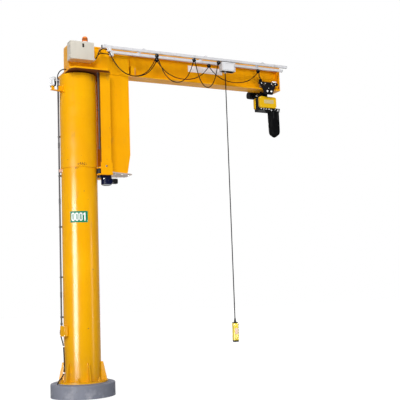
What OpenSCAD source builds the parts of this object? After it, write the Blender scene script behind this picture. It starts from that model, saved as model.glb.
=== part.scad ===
// Pillar jib crane with a motor-driven slewing head, an electric chain hoist and a pendant control.
// The origin is at the column axis on the underside of the plinth. +X runs along the jib, +Z is up.
// Lengths are in millimetres.

/* [Plinth and base] */
// Diameter of the concrete plinth
plinth_d = 820; // [760:10:1100]
// Height of the concrete plinth
plinth_h = 170; // [100:10:400]
// Diameter of the column's base plate
base_plate_d = 640; // [600:10:720]
// Thickness of the base plate
base_plate_t = 25; // [15:1:40]
// Height of each base gusset
gusset_h = 230; // [150:10:400]
// Thickness of each base gusset
gusset_t = 15; // [8:1:25]

/* [Column] */
// Outer diameter of the column tube
column_d = 470; // [440:5:490]
// Wall of the column tube
column_wall = 10; // [6:1:20]
// Height of the column's top above the floor
column_top = 4160; // [3800:10:4600]
// Thickness of the doubling sleeve round the upper column
sleeve_t = 6; // [4:1:8]
// Length of the doubling sleeve
sleeve_h = 1240; // [1000:20:1500]

/* [Slewing head] */
// Gap between the column's top and the slewing plate
slew_gap = 28; // [20:1:40]
// Thickness of the slewing plate
slew_plate_t = 25; // [15:1:40]
// Half of the slewing plate's width
slew_plate_half_w = 340; // [320:5:380]
// Diameter of the king pin
king_pin_d = 120; // [80:5:160]
// How far the head reaches behind the column axis
head_back = 155; // [120:5:200]
// How far the head reaches in front of the column axis
head_front = 690; // [660:10:760]
// Thickness of the head's side plates
head_plate_t = 12; // [8:1:20]

/* [Jib beam] */
// Distance from the column axis to the outer end of the beam
jib_reach = 3130; // [3100:10:3600]
// Depth of the beam
beam_h = 360; // [300:10:420]
// Width of the beam's flanges
beam_w = 220; // [200:5:240]
// Thickness of the beam's flanges
flange_t = 18; // [12:1:25]
// Thickness of the beam's web
web_t = 11; // [8:1:16]

/* [Hanging frame and rollers] */
// Length of the box frame along the jib
frame_box_l = 285; // [240:5:320]
// Width of each side post
post_w = 140; // [120:5:150]
// Depth of each side post
post_depth = 50; // [30:5:60]
// Diameter of each guide roller
roller_d = 100; // [80:2:110]
// Height of each guide roller
roller_h = 64; // [40:2:70]
// Angle of each guide roller from the jib's direction
roller_angle = 36; // [33:1:38]

/* [Slewing motor] */
// Diameter of the slewing motor
slew_motor_d = 140; // [100:5:150]
// Length of the slewing motor
slew_motor_h = 97; // [80:1:160]

/* [Control box] */
// Width of the control box
box_w = 320; // [250:10:330]
// Height of the control box
box_h = 240; // [180:10:300]
// Depth of the control box
box_depth = 150; // [120:5:200]

/* [Cable rails] */
// Outer size of the square cable rail
rail_size = 36; // [32:1:44]
// Wall of the cable rail
rail_wall = 3; // [2:0.5:3.5]
// Width of the slot in the cable rail
rail_slot = 16; // [16:1:18]
// Distance of the control rail from the beam's middle
control_rail_y = 350; // [330:5:370]
// Distance of the hoist rail from the beam's middle
hoist_rail_y = 165; // [160:5:180]
// Diameter of the hanging flat cables
festoon_d = 12; // [10:1:18]

/* [Trolley and hoist] */
// Distance of the trolley's middle from the beam's outer end
trolley_inset = 230; // [230:10:600]
// Length of the trolley's top bars
trolley_l = 300; // [280:10:320]
// Diameter of each trolley wheel
trolley_wheel_d = 80; // [70:2:90]
// Length of the hoist along the jib
hoist_l = 277; // [240:1:300]
// Width of the hoist across the jib
hoist_w = 190; // [180:2:230]
// Height of the hoist
hoist_h = 158; // [140:2:170]
// Depth of the chain bag
bag_h = 410; // [300:10:500]

/* [Pendant control] */
// Distance of the pendant cable from the column axis
pendant_x = 2060; // [1800:10:2300]
// Length of the pendant cable
pendant_cable_l = 3470; // [2800:10:3500]
// Diameter of the pendant cable
pendant_cable_d = 14; // [10:1:20]
// Height of the pendant control
pendant_h = 285; // [220:5:320]

/* [Hidden] */
$fn = 64;
running_fit = 0.05;   // radial clearance of the king pin and the axles
seat = 0.3;           // clearance between pieces that bear on each other
column_r = column_d / 2;
sleeve_r = column_r + seat + sleeve_t;
cap_t = 20;
beam_z = column_top + slew_gap + slew_plate_t;
beam_top = beam_z + beam_h;
flange_top = beam_z + flange_t;
root_r = 15;
arm_size = 30;
arm_t = 12;
plate_inset = 5;
head_half_w = beam_w / 2 - plate_inset;
head_chamfer = 45;
gland_z = beam_z + 26;
gland_y = -50;
frame_box_x = head_front - 5;
track_z = column_top - sleeve_h;
post_y = 190;
post_x = 225;
roller_orbit = column_r + roller_d / 2 + seat;
roller_z = track_z - 18 - roller_h;
lug_t = 15;
lug_gap = 3;
lug_low = roller_z - lug_gap - lug_t;
lug_high = roller_z + roller_h + lug_gap;
post_foot_z = lug_high + lug_t;
foot_plate_t = 15;
frame_z = lug_low + lug_t + 15 + foot_plate_t;
axle_d = 24;
gear_case_h = 30;
motor_x = 320;
motor_y = -150;
rail_top = beam_top - flange_t - arm_size;
rail_z = rail_top - rail_size;
carrier_z = rail_z - 39;
wheel_z = flange_top + seat + trolley_wheel_d / 2;
wheel_gap = 150;
side_plate_y = beam_w / 2 + 28;
side_plate_t = 12;
rod_d = 22;
top_bar_h = 48;
plate_foot_l = 130;
stop_l = 55;
stop_w = 58;
stop_reach = 80;
rod_gap = 68;
wheel_axle_d = 18;
rod_z = beam_z - 38;
hoist_top = beam_z - 108;
hoist_z = hoist_top - hoist_h;
trolley_x = jib_reach - trolley_inset;
hoist_x = trolley_x + 16;
guide_h = 40;
bag_l = 152;
bag_w = 125;
bag_rim = 10;
rim_h = 26;
chain_x = hoist_x + 144;
chain_y = 66;
chain_d = 7;
chain_inner = 22;
chain_pitch = chain_inner - seat;
chain_pocket_top = hoist_z - 6;
chain_top = chain_pocket_top - seat - chain_inner / 2 - chain_d;
chain_links = 6;
box_left = -head_back - 17;
box_bottom = beam_top - box_h;
door_t = 20;
lead_glands = [30, 70];
knuckle_d = 10;
hinge_pin_d = 5;
door_axis = [box_left - knuckle_d / 2 - seat, -beam_w / 2 - box_depth + door_t - seat / 2];
hinge_places = [box_bottom + 45, box_bottom + box_h - 45];
pendant_box_h = 126;
pendant_cable_z = rail_z - 20 - pendant_box_h - 24;
carriage_x = pendant_x - 100;
carriage_l = 240;
conduit_angle = 165;
conduit_d = 22;
lamp_angle = 196;
lamp_z = column_top - 172;
junction_angle = 197;
slew_stop_angle = 176;
control_clamp_x = 330;
hoist_clamp_x = 430;
tow_x = trolley_x - 180;
control_carriers = [for (share = [0.417, 0.764])
    control_clamp_x + share * (carriage_x - control_clamp_x)];
hoist_carriers = [for (share = [0.288, 0.642])
    hoist_clamp_x + share * (tow_x - hoist_clamp_x)];
arm_places = [for (share = [0.256, 0.556, 0.853]) share * jib_reach];
conduit_low = 900;
conduit_top = column_top - 55;
conduit_orbit = sleeve_r + 7 + conduit_d / 2;
conduit_axis = conduit_orbit * [cos(conduit_angle), sin(conduit_angle)];
// Points of the feed cable, from the conduit's lower end to the plinth's top.
feed_route = [
    for (p = [[0, 0, 0], [0, 0, -9], [-4, -1, -26], [-12, -5, -48], [-20, -13, -74],
        [-24, -23, -106], [-20, -35, -142], [-13, -49, -180], [-6, -63, -220],
        [-2, -75, -265], [-1, -85, -320], [-1, -93, -380], [-1, -97, -450],
        [-2, -99, -520], [-6, -101, -580], [-30, -103, -638], [-62, -105, -672],
        [-86, -107, -704], [-92, -107, plinth_h + 11 - conduit_low],
        [-92, -107, plinth_h - conduit_low]])
    [conduit_axis[0], conduit_axis[1], conduit_low] + p];
// Points of the supply tail, from the conduit's top to the gland on the head's rear.
tail_route = concat(
    [for (p = [[0, 0, 0], [0, 0, 9], [-4, -1, 26], [-8, -9, 54]])
        [conduit_axis[0], conduit_axis[1], conduit_top] + p],
    [for (p = [[-85, 90, -53], [-77, 64, -29], [-62, 36, -11], [-42, 14, -2], [-20, 1, 0],
        [-10, 0, 0], [0, 0, 0]])
        [-head_back - 17, gland_y, gland_z] + p]);
yellow = [0.95, 0.66, 0.06];
light_grey = [0.82, 0.80, 0.76];
steel = [0.62, 0.63, 0.64];
black = [0.08, 0.08, 0.09];

// ---- Shared shapes ----

// A round bar between two heights on an upright axis.
module upright(x, y, z, d, h) {
    translate([x, y, z]) cylinder(d = d, h = h);
}

// A box whose corner at the lowest X, Y and Z is given.
module block(corner, size) {
    translate(corner) cube(size);
}

// A round bar along Y, from one Y to a higher one.
module cross_bar(x, y, z, d, l) {
    translate([x, y, z]) rotate([-90, 0, 0]) cylinder(d = d, h = l);
}

// The same shape on both sides of the beam's middle plane.
module both_sides() {
    children();
    mirror([0, 1, 0]) children();
}

// The flat outline round two circles, as a belt would run.
module belt_outline(c1, r1, c2, r2) {
    to = c2 - c1;
    heading = atan2(to[1], to[0]);
    spread = acos((r1 - r2) / norm(to));
    translate(c1) circle(r = r1);
    translate(c2) circle(r = r2);
    polygon([for (p = [[c1, r1, 1], [c2, r2, 1], [c2, r2, -1], [c1, r1, -1]])
        let (a = heading + p[2] * spread) p[0] + p[1] * [cos(a), sin(a)]]);
}

// A flat rectangle with round corners, from its lowest corner.
module rounded_rectangle(w, h, r) {
    translate([r, 0]) square([w - 2 * r, h]);
    translate([0, r]) square([w, h - 2 * r]);
    for (x = [r, w - r]) for (y = [r, h - r]) translate([x, y]) circle(r = r);
}

function unit(v) = v / norm(v);

function path_direction(path, i) =
    unit(path[min(i + 1, len(path) - 1)] - path[max(i - 1, 0)]);

// A round cable swept along a path. The reference direction is never along the path.
module cable(path, d, across, sides = 8) {
    rings = [for (i = [0 : len(path) - 1])
        let (t = path_direction(path, i), u = unit(cross(t, across)), v = cross(t, u))
        for (k = [0 : sides - 1])
            let (a = 360 * k / sides)
            path[i] + d / 2 * (cos(a) * u + sin(a) * v)];
    last = (len(path) - 1) * sides;
    skin = [for (i = [0 : len(path) - 2]) for (k = [0 : sides - 1])
        let (a = i * sides + k, b = i * sides + (k + 1) % sides)
        [a, b, b + sides, a + sides]];
    ends = [[for (k = [sides - 1 : -1 : 0]) k], [for (k = [0 : sides - 1]) last + k]];
    polyhedron(points = rings, faces = concat(skin, ends), convexity = 4);
}

// Points of a cable that hangs in a loop between two carriers, straight down at both ends.
function loop_path(x1, x2, y, sag) = concat(
    [[x1, y, carrier_z]],
    [for (k = [0 : 8]) let (u = k / 8)
        [x1 + (x2 - x1) * (u - 0.35 * sin(360 * u) / 6.283), y,
         carrier_z - 14 - (sag - 14) * sin(180 * u)]],
    [[x2, y, carrier_z]]);

module festoon_loop(x1, x2, y, sag) {
    color(black) cable(loop_path(x1, x2, y, sag), festoon_d, [0, 1, 0]);
}

// ---- Plinth, base and column ----

module plinth() {
    edge = 15;
    r = plinth_d / 2;
    color([0.46, 0.48, 0.52]) rotate_extrude($fn = 96) polygon(concat(
        [[0, 0], [r, 0]],
        [for (a = [0 : 22.5 : 90])
            [r - edge + edge * cos(a), plinth_h - edge + edge * sin(a)]],
        [[0, plinth_h]]));
}

module base_gusset() {
    foot = base_plate_d / 2 - 12;
    translate([0, gusset_t / 2, plinth_h + base_plate_t]) rotate([90, 0, 0])
        linear_extrude(gusset_t)
            polygon([[column_r - 30, 0], [foot, 0], [foot, 30],
                [column_r + 30, gusset_h], [column_r - 30, gusset_h]]);
}

module base_plate() {
    z = plinth_h + base_plate_t;
    color(yellow) {
        upright(0, 0, plinth_h, base_plate_d, base_plate_t);
        difference() {
            for (a = [30 : 60 : 330]) rotate(a) base_gusset();
            upright(0, 0, z - 1, column_d, gusset_h + 2);
        }
    }
}

module anchor_bolts() {
    z = plinth_h + base_plate_t;
    color(steel) for (a = [0 : 60 : 300]) rotate(a) {
        translate([(column_r + base_plate_d / 2) / 2, 0, z]) {
            cylinder(d = 44, h = 4);
            cylinder(d = 24, h = 48);
            cylinder(d = 41, h = 24, $fn = 6);
        }
    }
}

module column_tube() {
    z = plinth_h + base_plate_t;
    h = column_top - cap_t - z;
    color(yellow) difference() {
        upright(0, 0, z, column_d, h);
        upright(0, 0, z - 1, column_d - 2 * column_wall, h + 2);
    }
}

module column_sleeve() {
    color(yellow) difference() {
        upright(0, 0, track_z, 2 * sleeve_r, sleeve_h);
        upright(0, 0, track_z - 1, column_d + 2 * seat, sleeve_h + 2);
    }
}

module column_cap() {
    color(yellow) {
        upright(0, 0, column_top - cap_t, column_d, cap_t);
        upright(0, 0, column_top, 2 * king_pin_d, slew_gap - seat);
        upright(0, 0, column_top, king_pin_d - 2 * running_fit, slew_gap + slew_plate_t - 3);
    }
}

module supply_conduit() {
    h = conduit_top - conduit_low;
    color(light_grey) rotate(conduit_angle) {
        upright(conduit_orbit, 0, conduit_low, conduit_d, h);
        difference() {
            for (z = [conduit_low + 90, 1500, 2150, track_z - 100, track_z + 420,
                    conduit_top - 80]) {
                upright(conduit_orbit, 0, z, conduit_d + 6, 22);
                block([column_r - 3, -6, z], [conduit_orbit - column_r + 3, 12, 22]);
            }
            upright(0, 0, conduit_low, column_d, h);
            upright(0, 0, track_z, 2 * sleeve_r, sleeve_h);
        }
    }
}

module junction_box() {
    color(yellow) rotate(junction_angle) {
        difference() {
            block([column_r - 5, -30, 775], [18, 60, 110]);
            upright(0, 0, 770, column_d, 120);
        }
        block([column_r + 13, -48, 765], [50, 96, 130]);
    }
}

module feed_cable() {
    color(black) cable(feed_route, 16, [0, 1, 0.4]);
}

module floodlight_bracket() {
    color(yellow) rotate(lamp_angle) difference() {
        union() {
            block([sleeve_r - 6, -45, lamp_z - 70], [14, 90, 100]);
            block([sleeve_r, -25, lamp_z - 60], [170, 50, 8]);
            block([sleeve_r, -4, lamp_z - 60], [60, 8, 70]);
        }
        upright(0, 0, lamp_z - 100, 2 * sleeve_r, 200);
    }
    color(black) rotate(lamp_angle)
        block([sleeve_r + 128, -14, lamp_z - 52], [30, 28, 52]);
}

module floodlight() {
    color(light_grey) rotate(lamp_angle) translate([sleeve_r + 118, 0, lamp_z]) {
        block([14, -50, 0], [34, 100, 110]);
        for (k = [-4 : 4]) block([0, k * 11 - 2, 8], [14.5, 4, 94]);
    }
}

module slew_stop() {
    z = track_z - 30;
    color([0.85, 0.62, 0.55]) rotate(slew_stop_angle) difference() {
        translate([column_r - 8, 0, z]) rotate([0, 90, 0]) {
            cylinder(d = 30, h = 24);
            translate([0, 0, 20]) cylinder(d = 46, h = 22);
        }
        upright(0, 0, z - 30, column_d, 60);
    }
}

module supply_tail() {
    color(black) cable(tail_route, 14, [1, 1, 0]);
}

// ---- Jib: head, beam and hanging frame ----

module slewing_plate() {
    back = box_left - 20;
    front = post_x + post_w + 10;
    w = slew_plate_half_w;
    color(yellow) translate([0, 0, column_top + slew_gap]) difference() {
        linear_extrude(slew_plate_t) polygon([
            [back + 50, -w], [front - 65, -w], [front, -w + 100], [front, w - 100],
            [front - 65, w], [back + 50, w], [back, w - 60], [back, -w + 60]]);
        translate([0, 0, -1]) cylinder(d = king_pin_d, h = slew_plate_t + 2);
    }
}

module beam_section() {
    hw = beam_w / 2;
    difference() {
        translate([-hw, 0]) square([beam_w, beam_h]);
        for (s = [-1, 1]) scale([s, 1]) {
            translate([web_t / 2 + root_r, flange_t + root_r]) circle(r = root_r);
            translate([web_t / 2 + root_r, beam_h - flange_t - root_r]) circle(r = root_r);
            translate([web_t / 2, flange_t + root_r])
                square([hw, beam_h - 2 * flange_t - 2 * root_r]);
            translate([web_t / 2 + root_r, flange_t]) square([hw, beam_h - 2 * flange_t]);
        }
    }
}

module jib_beam() {
    back = -head_back + head_plate_t;
    color(yellow) difference() {
        translate([back, 0, beam_z]) rotate([90, 0, 90])
            linear_extrude(jib_reach - back) beam_section();
        translate([back, beam_w, beam_top - head_chamfer])
            rotate([90, 0, 0]) linear_extrude(2 * beam_w)
                polygon([[-1, 0], [0, 0], [head_chamfer, head_chamfer],
                    [head_chamfer, head_chamfer + 1], [-1, head_chamfer + 1]]);
    }
}

module head_plates() {
    back = -head_back;
    inside = back + head_plate_t;
    side_z = beam_z + flange_t;
    slant = head_plate_t / sqrt(2);
    color(yellow) {
        both_sides() translate([0, -head_half_w + head_plate_t, 0]) rotate([90, 0, 0])
            linear_extrude(head_plate_t) polygon([
                [inside, side_z], [head_front, side_z],
                [head_front, beam_top - flange_t],
                [inside + head_chamfer - flange_t, beam_top - flange_t],
                [inside, beam_top - head_chamfer]]);
        translate([0, beam_w / 2, 0]) rotate([90, 0, 0]) linear_extrude(beam_w) polygon([
            [back, beam_z], [inside, beam_z], [inside, beam_top - head_chamfer],
            [inside + head_chamfer, beam_top], [inside + head_chamfer - 2 * slant, beam_top],
            [back, beam_top - head_chamfer + 2 * slant - head_plate_t]]);
        translate([back - 17, gland_y, gland_z]) rotate([0, 90, 0]) cylinder(d = 30, h = 18);
    }
}

module frame_box() {
    wall = 10;
    x = frame_box_x - frame_box_l;
    cut = 45;
    color(yellow) translate([x, head_half_w, 0]) rotate([90, 0, 0])
        difference() {
            linear_extrude(2 * head_half_w) polygon([
                [0, frame_z], [frame_box_l - cut, frame_z], [frame_box_l, frame_z + 260],
                [frame_box_l, beam_z], [0, beam_z]]);
            translate([0, 0, wall]) linear_extrude(2 * head_half_w - 2 * wall) polygon([
                [wall, frame_z - 1], [frame_box_l - cut - wall, frame_z - 1],
                [frame_box_l - wall, frame_z + 262], [frame_box_l - wall, beam_z + 1],
                [wall, beam_z + 1]]);
        }
}

module frame_posts() {
    wall = 9;
    h = column_top + slew_gap - post_foot_z;
    color(yellow) both_sides() translate([post_x, -post_y - post_depth, post_foot_z])
        difference() {
            cube([post_w, post_depth, h]);
            translate([wall, wall, -1]) cube([post_w - 2 * wall, post_depth, h + 2]);
        }
}

module roller_brackets() {
    front = post_y + post_depth;
    color(yellow) both_sides() difference() {
        union() {
            block([post_x - 10, -front - 12, lug_low],
                [post_w + 20, 12, post_foot_z + 62 - lug_low]);
            block([post_x - 10, -front - 18, lug_low], [post_w + 20, 7, 14]);
            for (z = [lug_low, lug_high])
                block([post_x - 45, -front, z], [post_w + 45, front - 120, lug_t]);
        }
        upright(0, 0, lug_low - 1, 2 * sleeve_r + 24, 200);
        rotate(-roller_angle)
            upright(roller_orbit, 0, lug_low - 1, axle_d, lug_high - lug_low + lug_t + 2);
    }
}

module frame_foot_plate() {
    x = 296;
    front = head_front + 10;
    side = post_y + post_depth;
    color(light_grey) translate([0, 0, frame_z - foot_plate_t]) linear_extrude(foot_plate_t)
        polygon([[x, -side], [post_x + post_w, -side], [front, -head_half_w - 4],
            [front, head_half_w + 4], [post_x + post_w, side], [x, side]]);
}

module slew_motor() {
    r = slew_motor_d / 2;
    case_z = lug_low - gear_case_h;
    color([0.10, 0.12, 0.22]) translate([0, 0, case_z]) linear_extrude(gear_case_h)
        belt_outline(roller_orbit * [cos(roller_angle), -sin(roller_angle)], 32,
            [motor_x, motor_y], r - 3);
    translate([motor_x, motor_y, case_z - slew_motor_h]) {
        color([0.07, 0.10, 0.28]) {
            translate([0, 0, 20]) cylinder(r = r - 5, h = slew_motor_h - 20);
            for (a = [0 : 30 : 330]) rotate(a)
                translate([r - 20, -2, 25]) cube([20, 4, slew_motor_h - 37]);
        }
        color(steel) cylinder(r1 = r - 15, r2 = r, h = 20);
        color(black) block([r - 8, -35, 26], [84, 70, 62]);
    }
}

module motor_conduit() {
    x = post_x - 12;
    y = -(post_y + 15);
    color(light_grey) {
        upright(x, y, post_foot_z + 240, 16, column_top + slew_gap - post_foot_z - 240);
        for (z = [post_foot_z + 260, post_foot_z + 760]) {
            upright(x, y, z, 22, 24);
            block([x, y - 6, z], [post_x - x, 12, 24]);
        }
    }
}

// A guide roller on its upright axle, at an angle from the jib's direction.
module guide_roller(angle) {
    color(steel) rotate(angle) {
        upright(roller_orbit, 0, roller_z, roller_d, roller_h);
        upright(roller_orbit, 0, lug_low + 1, axle_d - 2 * running_fit,
            lug_high + lug_t + 6 - lug_low);
    }
}

// ---- Control box, beacon, rails ----

module control_box() {
    wall = 2;
    y = -beam_w / 2 - box_depth + door_t;
    d = box_depth - door_t;
    color(light_grey) {
        difference() {
            block([box_left, y, box_bottom], [box_w, d, box_h]);
            block([box_left + wall, y - 1, box_bottom + wall],
                [box_w - 2 * wall, d - wall + 1, box_h - 2 * wall]);
        }
        for (dy = lead_glands)
            translate([box_left + box_w, y + dy, box_bottom + 30]) rotate([0, 90, 0])
                cylinder(d = 26, h = 14);
        for (z = hinge_places) {
            for (dz = [-14, 14]) {
                upright(door_axis[0], door_axis[1], z + dz - 6, knuckle_d, 12);
                block([door_axis[0], y + 1, z + dz - 6], [8, 4, 12]);
            }
            upright(door_axis[0], door_axis[1], z - 10, hinge_pin_d, 20);
        }
    }
}

module control_box_door() {
    y = -beam_w / 2 - box_depth;
    color(light_grey) {
        block([box_left, y, box_bottom], [box_w, door_t - seat, box_h]);
        cross_bar(box_left + 190, y - 6, box_bottom + box_h - 50, 22, 7);
        for (z = hinge_places) difference() {
            union() {
                upright(door_axis[0], door_axis[1], z - 7.7, knuckle_d, 15.4);
                block([door_axis[0], door_axis[1] - 5, z - 7.7], [8, 4, 15.4]);
            }
            upright(door_axis[0], door_axis[1], z - 9, hinge_pin_d + 2 * running_fit, 18);
        }
    }
}

module control_gear() {
    y = -beam_w / 2 - 5;
    color(steel) block([box_left + 20, y, box_bottom + 20], [box_w - 40, 3, box_h - 40]);
    color(black) {
        for (k = [0 : 3])
            block([box_left + 36 + k * 52, y - 62, box_bottom + 130], [45, 62, 72]);
        block([box_left + 36, y - 36, box_bottom + 42], [240, 36, 44]);
    }
}

module beacon() {
    color([0.95, 0.95, 0.93]) upright(box_left + 222, -180, beam_top, 92, 24);
    color([0.93, 0.38, 0.05]) translate([box_left + 222, -180, beam_top + 24])
        rotate_extrude() polygon(concat([[0, 0], [38, 0]],
            [for (a = [0 : 15 : 90]) [38 * cos(a), 40 + 38 * sin(a)]]));
}

module rail_arms() {
    z = rail_top;
    reach = control_rail_y + rail_size / 2 + 4;
    clear = web_t / 2 + root_r;
    color(steel) {
        for (x = arm_places) block([x, -reach, z], [arm_size, reach - clear, arm_t]);
        block([control_clamp_x - 70, -reach, z], [arm_size, reach - head_half_w, arm_t]);
        for (p = [[control_clamp_x, control_rail_y], [hoist_clamp_x, hoist_rail_y]])
            block([p[0] - 35, -p[1] - 16, carrier_z], [56, 32, rail_z - carrier_z]);
    }
}

module cable_rail(x1, x2, y) {
    color([0.78, 0.79, 0.80]) translate([x1, -y, rail_z]) rotate([90, 0, 90])
        linear_extrude(x2 - x1) difference() {
            translate([-rail_size / 2, 0]) square(rail_size);
            translate([-rail_size / 2 + rail_wall, rail_wall])
                square(rail_size - 2 * rail_wall);
            translate([-rail_slot / 2, -1]) square([rail_slot, rail_wall + 2]);
        }
}

module control_rail() {
    cable_rail(control_clamp_x - 105, jib_reach - 35, control_rail_y);
}

module hoist_rail() {
    cable_rail(hoist_clamp_x - 45, jib_reach + 12, hoist_rail_y);
}

module travel_stops() {
    color(yellow) both_sides() {
        block([head_front + 45, -stop_reach, flange_top], [stop_l, stop_w, 0.39 * beam_h]);
        block([jib_reach - stop_l - 15, -stop_reach, flange_top],
            [stop_l, stop_w, 0.25 * beam_h]);
    }
}

module supply_leads() {
    start = [box_left + box_w + 14, -beam_w / 2 - box_depth + door_t, box_bottom + 30];
    front_end = [control_clamp_x - 35, -control_rail_y + 2, carrier_z + 20];
    back_end = [hoist_clamp_x - 35, -hoist_rail_y, carrier_z + 20];
    front = start + [0, lead_glands[0], 0];
    back = start + [0, lead_glands[1], 0];
    color(black) {
        cable([front, front + [8, 0, 0], front + [22, -3, 7], front + [40, -12, 40],
            front + [52, -34, 88], front + [72, -72, 118], front + [94, -110, 122],
            front_end - [14, 0, 0], front_end - [0.3, 0, 0]], 14, [0.2, 0.3, 1]);
        cable([back, back + [8, 0, 0], back + [22, 0, 7], back + [44, 2, 34],
            back + [70, 4, 80], back + [110, 5, 106], back + [170, 5, 111],
            back_end - [14, 0, 0], back_end - [0.3, 0, 0]], 14, [0, 1, 0.2]);
    }
}

module cable_carrier(x, y) {
    neck = 6;
    head = rail_size - 2 * rail_wall - 10;
    color(black) {
        block([x - 22, -y - head / 2, rail_z + rail_wall + seat], [44, head, 16]);
        block([x - 14, -y - neck / 2, rail_z - 8], [28, neck, 8 + rail_wall + seat]);
        translate([x - 24, -y + 15, rail_z - 8]) rotate([90, 0, 0])
            linear_extrude(30) polygon([[6, 0], [42, 0], [48, -8], [48, -31], [0, -31], [0, -8]]);
    }
}

// ---- Pendant control ----

module pendant_carriage() {
    x = carriage_x + 40;
    y = -control_rail_y;
    color(black) {
        for (dx = [40, 150]) {
            block([x + dx, y - 10, rail_z + rail_wall + seat], [44, 20, 16]);
            block([x + dx + 8, y - 3, rail_z - 8], [28, 6, 8 + rail_wall + seat]);
        }
        block([x, y - 22, rail_z - 20], [carriage_l - 40, 44, 12]);
    }
    color([0.93, 0.93, 0.94]) block([x - 8, y - 50, rail_z - 20 - pendant_box_h],
        [carriage_l - 32, 100, pendant_box_h]);
    color(black) upright(pendant_x, y, rail_z - 20 - pendant_box_h - 24, 34, 24);
}

module pendant_cable() {
    color(black) cable([for (k = [0 : 3])
        [pendant_x, -control_rail_y, pendant_cable_z - pendant_cable_l * k / 3]],
        pendant_cable_d, [0, 1, 0], 12);
}

module pendant_station() {
    top = pendant_cable_z - pendant_cable_l;
    low = top - pendant_h;
    color(black) {
        upright(pendant_x, -control_rail_y, top - 30, 34, 30);
        block([pendant_x - 34, -control_rail_y - 27, low], [68, 54, 22]);
    }
    color(yellow) translate([pendant_x, -control_rail_y, low + 22])
        linear_extrude(pendant_h - 52) square([76, 60], center = true);
    color(black) for (k = [0 : 5])
        translate([pendant_x + 37, -control_rail_y, low + 46 + k * (pendant_h - 100) / 5])
            rotate([0, 90, 0]) cylinder(d = 24, h = 11);
}

// ---- Trolley and hoist ----

module trolley_frame() {
    x = trolley_x;
    bar_z = wheel_z;
    plate_l = trolley_l - 50;
    color(black) {
        both_sides() {
            block([x - trolley_l / 2, -side_plate_y - side_plate_t, bar_z],
                [trolley_l, side_plate_t, top_bar_h]);
            translate([x, -side_plate_y, 0]) rotate([90, 0, 0]) linear_extrude(side_plate_t)
                polygon([[-plate_l / 2, bar_z], [plate_l / 2, bar_z],
                    [plate_foot_l / 2, rod_z - 2 * rod_d], [-plate_foot_l / 2, rod_z - 2 * rod_d]]);
            for (s = [-1, 1])
                cross_bar(x + s * wheel_gap / 2, -side_plate_y, bar_z, wheel_axle_d, 58);
        }
        block([x - trolley_l / 2, -side_plate_y - side_plate_t, bar_z + top_bar_h],
            [40, 30, 32]);
        block([x + 80, -side_plate_y - side_plate_t, bar_z + top_bar_h], [60, 34, 18]);
    }
    outer = side_plate_y + side_plate_t;
    color(steel) for (s = [-1, 1])
        cross_bar(x + s * rod_gap / 2, -outer - 18, rod_z, rod_d, 2 * outer + 18);
}

module tow_lead() {
    start = [tow_x + 14, -hoist_rail_y, carrier_z];
    x_end = trolley_x - 130;
    color(black) cable([start, start + [0, 0, -22], start + [3, 3, -48],
        start + [12, 12, -76], [x_end - 8, -side_plate_y - 3, wheel_z + 108],
        [x_end, -side_plate_y + 3, wheel_z + 94], [x_end, -side_plate_y + 3, wheel_z + 80]],
        14, [1, 1, 0]);
}

module trolley_wheel_pair(x) {
    color(steel) both_sides() difference() {
        cross_bar(x, -beam_w / 2 + 4, wheel_z, trolley_wheel_d, 34);
        cross_bar(x, -beam_w / 2, wheel_z, wheel_axle_d + 2 * running_fit, 50);
    }
}

module trolley_drive() {
    y = side_plate_y + side_plate_t;
    color(black) {
        block([trolley_x + 20, y, rod_z - 30], [90, 90, 96]);
        translate([trolley_x - 150, y + 55, rod_z + 12]) rotate([0, 90, 0])
            cylinder(d = 104, h = 170);
    }
}

module hoist_body() {
    w = hoist_w - 90;
    color(black) {
        block([hoist_x - hoist_l / 2 + 8, -w / 2, hoist_z], [hoist_l - 16, w, hoist_h - 6]);
        difference() {
            block([trolley_x - 60, -12, hoist_top - 7], [120, 24, rod_z + 20 - hoist_top + 7]);
            for (s = [-1, 1])
                cross_bar(trolley_x + s * rod_gap / 2, -20, rod_z, rod_d + 2 * seat, 40);
        }
    }
}

module hoist_cover() {
    d = 45;
    translate([hoist_x - hoist_l / 2, -hoist_w / 2 + d, hoist_z]) rotate([90, 0, 0])
        linear_extrude(d) rounded_rectangle(hoist_l, hoist_h, 22);
}

module hoist_covers() {
    color([0.95, 0.75, 0.05]) both_sides() hoist_cover();
}

module chain_guide() {
    color(black) difference() {
        block([hoist_x - 125, -70, hoist_z - guide_h], [341, 165, guide_h]);
        upright(chain_x, chain_y, hoist_z - guide_h - 1, 34,
            chain_pocket_top - hoist_z + guide_h + 1);
    }
}

module chain_link() {
    w = 24;
    bend = chain_inner / 2 + chain_d - w / 2;
    rotate([90, 0, 0]) {
        for (s = [0, 180]) rotate(s) translate([0, bend, 0])
            rotate_extrude(angle = 180) translate([w / 2 - chain_d / 2, 0])
                circle(d = chain_d, $fn = 24);
        for (s = [-1, 1]) translate([s * (w / 2 - chain_d / 2), 0, 0]) rotate([90, 0, 0])
            cylinder(d = chain_d, h = 2 * bend, center = true, $fn = 24);
    }
}

module load_chain() {
    color(steel) for (k = [0 : chain_links - 1])
        translate([chain_x, chain_y, chain_top - k * chain_pitch]) rotate(90 * (k % 2))
            chain_link();
}

module load_hook() {
    block_d = 62;
    chain_end = chain_top - (chain_links - 1) * chain_pitch - chain_inner / 2 - chain_d;
    z = chain_end - seat - block_d / 2;
    hook_r = 30;
    hook_z = z - 112;
    color(yellow) translate([chain_x, chain_y, z]) rotate([0, 90, 0])
        cylinder(d = block_d, h = 44, center = true);
    color(steel) translate([chain_x, chain_y, hook_z]) {
        translate([0, 0, hook_r]) cylinder(d = 18, h = 112 - hook_r - 20);
        rotate([90, 0, 0]) rotate(-170) rotate_extrude(angle = 260) translate([hook_r, 0])
            circle(d = 20, $fn = 32);
    }
}

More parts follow.
